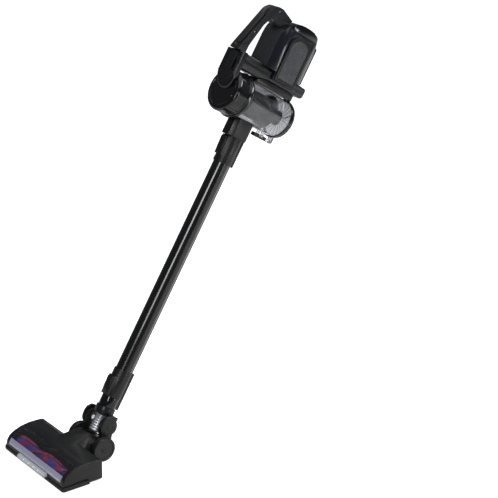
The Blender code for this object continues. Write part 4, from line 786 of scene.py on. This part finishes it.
def make_bridge():
    bridge = from_cad("bridge_cover")
    moved(bridge, WAND.inverted())
    low, high = box_on_wand("bridge_cover")
    edit(bridge, "EDGE")
    mesh = bmesh.from_edit_mesh(bridge.data)
    low_b, high_b = box_on_wand("power_button")
    for edge in mesh.edges:
        outer = all(v.co.z > low.z + 0.002 for v in edge.verts)
        clear_of_button = any(abs(v.co.x) > high_b.x + 0.002 or v.co.y < low_b.y - 0.002 for v in edge.verts)
        edge.select_set(outer and clear_of_button and edge.calc_face_angle(0) > 0.3)
    bmesh.update_edit_mesh(bridge.data)
    bpy.ops.mesh.bevel(offset=HAND_EDGE, segments=6, clamp_overlap=True)
    leave()
    finish_piece(bridge, "wand_unit", GLOSS, ["bridge_cover"], WAND)
    half_x, half_y = (high_b.x - low_b.x) / 2, (high_b.y - low_b.y) / 2
    middle = (0, (high_b.y + low_b.y) / 2, 0)
    surround = plate("button_surround", oval(half_x + 0.0022, half_y + 0.0022), 0.0012, high.z - 0.0006)
    hole = plate("hole", oval(half_x + 0.0004, half_y + 0.0004), 0.01, high.z - 0.005)
    carve(surround, hole)
    apply_bevel(surround, 0.0003, 2, 40)
    finish_piece(surround, "wand_unit", SATIN, (), WAND @ at(*middle))
    button = from_cad("power_button")
    apply_bevel(button, 0.0010, 3, 40)
    finish_piece(button, "power_button", SATIN, ["power_button"])


def make_spine():
    spine = from_cad("spine_frame")
    moved(spine, WAND.inverted())
    low, high = box_on_wand("spine_frame")
    seam = []
    for side in (-1, 1):
        edges = sorted((side * (high.x - 0.0006), side * (high.x + 0.002)))
        seam.append(brick("seam", (edges[0], hand(0.0735), low.z + 0.006),
                          (edges[1], hand(0.0742), high.z - 0.004)))
    carve(spine, joined(*seam))
    finish_piece(spine, "wand_unit", HANDLE, ["spine_frame"], WAND)
    bracket = from_cad("cup_bracket")
    apply_bevel(bracket, 0.0008, 2, 40)
    finish_piece(bracket, "wand_unit", SATIN, ["cup_bracket"])


# ------------------------------------------------------------------ wand, sleeves and neck
BAND_INNER, BAND_OUTER = 0.0208, 0.0217      # raised bands round the sleeves


def make_sleeves():
    for node in ("upper_sleeve", "lower_sleeve", "inlet_duct"):
        piece = from_cad(node)
        apply_bevel(piece, 0.0008, 2, 40)
        finish_piece(piece, "wand_unit", SATIN, [node])
        low, high = box_on_wand(node)
        if node != "inlet_duct":
            ends = [low.y + 0.0040, low.y + 0.0085, high.y - 0.0015]
            if node == "lower_sleeve":
                ends = [low.y + 0.0480, high.y - 0.0085, high.y - 0.0040]
            rings = []
            for y in ends:
                band = turned("band", [
                    (BAND_INNER, -0.0010), (BAND_OUTER, -0.0006), (BAND_OUTER, 0.0006), (BAND_INNER, 0.0010),
                    (BAND_INNER, -0.0010)], 64, closed=True)
                rings.append(moved(band, at(0, y, 0) @ TURN_Y))
            bands = joined(*rings)
            bands.name = node + "_bands"
            finish_piece(bands, "wand_unit", SATIN, (), WAND)
    for node, body in (("upper_release_button", "upper_release"), ("lower_release_button", "lower_release")):
        button = from_cad(node)
        apply_bevel(button, 0.0014, 3, 40)
        finish_piece(button, body, SATIN, [node])
        low, high = box_on_wand(node)
        ribs = []
        for i in range(5):
            y = high.y - 0.006 - 0.0026 * i
            ribs.append(brick("rib", (-0.0070, y - 0.0006, high.z - 0.0012),
                              (0.0070, y + 0.0006, high.z + 0.0004), 0.0004, 2))
        pad = joined(*ribs)
        pad.name = node + "_ribs"
        finish_piece(pad, body, SATIN, (), WAND)


HOSE_TOP, HOSE_LOW, HOSE_FOLDS = 0.0177, -0.0240, 7      # hose ends along the wand from the tilt axis


def make_neck():
    for node, body, slot, skin in (("neck_tube", "wand_unit", "gloss_black", GLOSS),
                                   ("neck_yoke", "neck", "satin_black", SATIN)):
        piece = from_cad(node)
        apply_bevel(piece, 0.0007, 2, 40)
        finish_piece(piece, body, skin, [node])
    for side in (-1, 1):
        turn = TURN_X if side > 0 else TURN_X.inverted()
        high = box_on_wand("neck_yoke")[1]
        cap = turned("yoke_pin_cap", [(0, 0.0012), (0.0058, 0.0012), (0.0070, 0.0004), (0.0070, -0.0012),
                                      (0, -0.0012)], 40)
        finish_piece(cap, "neck", MATT, (), WAND @ at(side * (high.x - 0.0004), 0, 0) @ turn)
    top, low = HOSE_TOP, HOSE_LOW
    steps = HOSE_FOLDS * 6
    outer, inner = [], []
    for i in range(steps + 1):
        level = top - (top - low) * i / steps
        swell = 0.0011 * (1 - math.cos(2 * math.pi * i / 6))
        outer.append((0.0126 + swell, level))
        inner.append((0.0114 + swell, level))
    hose = turned("neck_hose", outer + inner[::-1] + [outer[0]], 48, closed=True)
    moved(hose, WAND @ TURN_Y)
    hose.data.materials.append(SILVER)
    smooth(hose, 60)
    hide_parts("flex_hose")
    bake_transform(hose)


def make_wheels():
    for node in ("wheel_left", "wheel_right"):
        low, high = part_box(node)
        radius, half = (high.z - low.z) / 2 - 0.0001, (high.x - low.x) / 2
        middle = (low + high) / 2
        wheel = turned(node + "_tyre", [
            (0, half), (0.0055, half), (0.0062, half - 0.0006), (0.0068, half - 0.0016),
            (0.0215, half - 0.0016),
            (0.0222, half - 0.0004), (radius - 0.0022, half), (radius - 0.0006, half - 0.0008),
            (radius, half - 0.0026), (radius, 0.0012), (radius - 0.0008, 0.0008), (radius - 0.0008, -0.0008),
            (radius, -0.0012), (radius, -half + 0.0026), (radius - 0.0006, -half + 0.0008),
            (radius - 0.0022, -half), (0.0222, -half + 0.0004), (0.0215, -half + 0.0016),
            (0.0062, -half + 0.0016), (0.0052, -half), (0.0052, half - 0.0008), (0, half - 0.0008)], 96)
        edit(wheel)
        pick_faces(wheel, lambda point, normal: math.hypot(point.x, point.y) > radius - 0.0005
                   and 0.0014 < abs(point.z) < half - 0.0028 and int(around(point) / 3.75) % 2 == 0)
        bpy.ops.mesh.inset(thickness=0.0002, depth=-0.0005, use_individual=True)
        leave()
        turn = TURN_X if middle.x > 0 else TURN_X.inverted()
        moved(wheel, Matrix.Translation(middle) @ turn)
        finish_piece(wheel, node, TREAD, [node], None, 30)
        wheel.data.materials.append(SPECKLED)
        for face in wheel.data.polygons:
            spot = face.center - middle
            if abs(face.normal.x) > 0.9 and 0.005 < math.hypot(spot.y, spot.z) < 0.0215:
                face.material_index = 1


# ------------------------------------------------------------------ brush head
def wind_tufts(skin, middle):
    """Lay bands of crimson tufts over the roller's violet core, wound outward from its middle."""
    tree = skin.node_tree
    place = add_node(tree, "ShaderNodeTexCoord").outputs["Object"]
    parts = add_node(tree, "ShaderNodeSeparateXYZ", Vector=place)
    across = add_node(tree, "ShaderNodeMath", {"operation": "SUBTRACT"}, _0=parts.outputs[1], _1=middle.y)
    height = add_node(tree, "ShaderNodeMath", {"operation": "SUBTRACT"}, _0=parts.outputs[2], _1=middle.z)
    angle = add_node(tree, "ShaderNodeMath", {"operation": "ARCTAN2"}, _0=across.outputs[0],
                     _1=height.outputs[0])
    run = add_node(tree, "ShaderNodeMath", {"operation": "ABSOLUTE"}, _0=parts.outputs[0])
    wound = add_node(tree, "ShaderNodeMath", {"operation": "MULTIPLY_ADD"}, _0=run.outputs[0], _1=58.0,
                     _2=angle.outputs[0])
    turns = add_node(tree, "ShaderNodeMath", {"operation": "MULTIPLY"}, _0=wound.outputs[0],
                     _1=1.0 / math.pi)
    share = add_node(tree, "ShaderNodeMath", {"operation": "FRACT"}, _0=turns.outputs[0])
    fray = add_node(tree, "ShaderNodeTexNoise", Vector=place, Scale=420.0, Detail=3.0)
    frayed = add_node(tree, "ShaderNodeMath", {"operation": "MULTIPLY_ADD"}, _0=fray.outputs[0], _1=0.12,
                      _2=share.outputs[0])
    band = add_node(tree, "ShaderNodeMapRange", Value=frayed.outputs[0], From_Min=0.36, From_Max=0.42,
                    To_Min=1.0, To_Max=0.0)
    mix = add_node(tree, "ShaderNodeMix", {"data_type": "RGBA"}, _0=band.outputs[0],
                   _6=(0.075, 0.045, 0.30, 1.0), _7=(0.34, 0.012, 0.045, 1.0))
    # the tuft colours go in beneath the painted edge highlight
    for made in tree.nodes:
        if made.type == "GROUP" and made.node_tree == EDGE:
            tree.links.new(mix.outputs[2], made.inputs["Colour"])


def make_head():
    shell = from_cad("head_shell")
    low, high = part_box("head_shell")
    apply_bevel(shell, 0.0006, 2, 40)
    for side in (-1, 1):
        edges = sorted((side * (high.x - 0.0010), side * (high.x + 0.002)))
        slot = brick("slot", (edges[0], low.y + 0.030, 0.0105), (edges[1], low.y + 0.062, 0.0150), 0.0007, 2)
        carve(shell, slot)
    finish_piece(shell, "head", SATIN, ["head_shell"])
    low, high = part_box("light_bar")
    lamps = []
    for i in range(4):
        x = (i - 1.5) * 0.020
        lamp = turned("lamp", [(0, 0.0026), (0.0014, 0.0023), (0.0023, 0.0012), (0.0026, 0), (0.0026, -0.002),
                               (0, -0.002)], 20)
        lamps.append(moved(lamp, at(x, low.y + 0.0027, (low.z + high.z) / 2) @ TURN_Y.inverted()))
    lamp_row = joined(*lamps)
    lamp_row.name = "head_lamps"
    finish_piece(lamp_row, "head", LAMP)
    wind_tufts(VIOLET, Vector(JOINTS["brush_spin"]["pos_m"]))


# ------------------------------------------------------------------ pieces that keep the CAD form
ROUNDED = [
    ("front_bumper", "head", "soft_rubber", RUBBER, 0.0006),
    ("base_plate", "head", "satin_black", MATT, 0.0004),
]

KEPT = {
    "pleated_filter": PAPER, "lid_hinge_pin": STEEL, "latch_pin": STEEL, "wand_tube": TUBE,
    "control_board": BOARD, "suction_motor": STEEL, "impeller": SILVER, "motor_shaft": STEEL,
    "battery_pack": BATTERY, "brush_window": WINDOW, "front_diffuser": DIFFUSER, "light_bar": LENS,
    "lamp_board": LAMP, "roller_bearing_left": MATT, "roller_bearing_right": MATT, "brush_motor": STEEL,
    "drive_belt": RUBBER, "tilt_pin_left": STEEL, "tilt_pin_right": STEEL, "wheel_axle": STEEL,
    "foot_roller_left": RUBBER, "foot_roller_right": RUBBER, "brush_roller": VIOLET,
    "bristle_strip_a": BRISTLE, "bristle_strip_b": BRISTLE, "motor_pulley": STEEL,
}


def carry_over():
    for node, body, slot, skin, width in ROUNDED:
        piece = from_cad(node)
        apply_bevel(piece, width, 2, 40)
        finish_piece(piece, body, skin, [node])
    for node, skin in KEPT.items():
        obj = frame["nodes"][node]
        obj.data.materials.clear()
        obj.data.materials.append(skin)


make_filter_cap()
make_collar()
make_cup()
make_filter_screen()
make_base_lid()
make_latch()
make_handle()
make_housing()
make_bridge()
make_spine()
make_sleeves()
make_neck()
make_wheels()
make_head()
carry_over()


# ------------------------------------------------------------------ studio
def area_light(name, place, aim, size, power, tint=(1, 1, 1)):
    light = bpy.data.lights.new(name, "AREA")
    light.shape = "RECTANGLE"
    light.size, light.size_y = size
    light.energy = power
    light.color = tint
    obj = bpy.data.objects.new(name, light)
    obj.location = place
    obj.rotation_euler = (Vector(aim) - Vector(place)).to_track_quat("-Z", "Y").to_euler()
    bpy.context.scene.collection.objects.link(obj)
    return obj


def studio():
    let_go()
    bpy.ops.mesh.primitive_plane_add(size=14.0, location=(0, 0, -0.0002))
    floor = bpy.context.object
    floor.name = "studio_floor"
    skin = bpy.data.materials.new("studio_floor_white")
    skin.use_nodes = True
    shader = skin.node_tree.nodes["Principled BSDF"]
    place = add_node(skin.node_tree, "ShaderNodeTexCoord").outputs["Object"]
    cloud = add_node(skin.node_tree, "ShaderNodeTexNoise", Vector=place, Scale=3.0)
    tone = add_node(skin.node_tree, "ShaderNodeMapRange", Value=cloud.outputs[0], To_Min=0.90, To_Max=0.93)
    skin.node_tree.links.new(tone.outputs[0], shader.inputs["Base Color"])
    shader.inputs["Roughness"].default_value = 0.7
    shader.inputs["Specular IOR Level"].default_value = 0.1
    shader.inputs["Emission Color"].default_value = (1, 1, 1, 1)
    seen = add_node(skin.node_tree, "ShaderNodeLightPath").outputs["Is Camera Ray"]
    lift = add_node(skin.node_tree, "ShaderNodeMath", {"operation": "MULTIPLY"}, _0=seen, _1=0.82)
    skin.node_tree.links.new(lift.outputs[0], shader.inputs["Emission Strength"])
    floor.data.materials.append(skin)
    world = bpy.data.worlds.new("studio_white")
    bpy.context.scene.world = world
    world.use_nodes = True
    tree = world.node_tree
    shown = tree.nodes["Background"]
    shown.inputs[0].default_value = (1, 1, 1, 1)
    dim = add_node(tree, "ShaderNodeBackground", Color=(0.92, 0.95, 1.0, 1), Strength=0.14)
    ray = add_node(tree, "ShaderNodeLightPath")
    both = add_node(tree, "ShaderNodeMixShader", _0=ray.outputs["Is Camera Ray"], _1=dim.outputs[0],
                    _2=shown.outputs[0])
    tree.links.new(both.outputs[0], tree.nodes["World Output"].inputs[0])
    middle = (0, 0.05, 0.5)
    area_light("ceiling_softbox", (0.3, 0.4, 3.4), (0.0, 0.1, 0.0), (4.5, 4.5), 105)
    area_light("key_strip", (1.5, -2.0, 1.9), middle, (0.35, 1.6), 30)
    area_light("rim_strip", (1.4, 1.9, 1.9), middle, (1.5, 0.4), 34)
    area_light("low_strip", (2.4, 0.9, 0.5), middle, (0.3, 1.2), 14)


def camera():
    made = bpy.data.objects.new("camera", bpy.data.cameras.new("camera"))
    bpy.context.scene.collection.objects.link(made)
    made.location = (2.6797, -1.89186, 1.6914)
    look = Vector((0, 0.2106, 0.39125)) - made.location
    made.rotation_mode = "QUATERNION"
    made.rotation_quaternion = look.to_track_quat("-Z", "Y") @ Quaternion((0, 0, 1), math.radians(1.19))
    made.data.lens = 114.14
    made.data.sensor_width = 36
    bpy.context.scene.camera = made
    bpy.context.scene.view_settings.view_transform = "Standard"


studio()
camera()
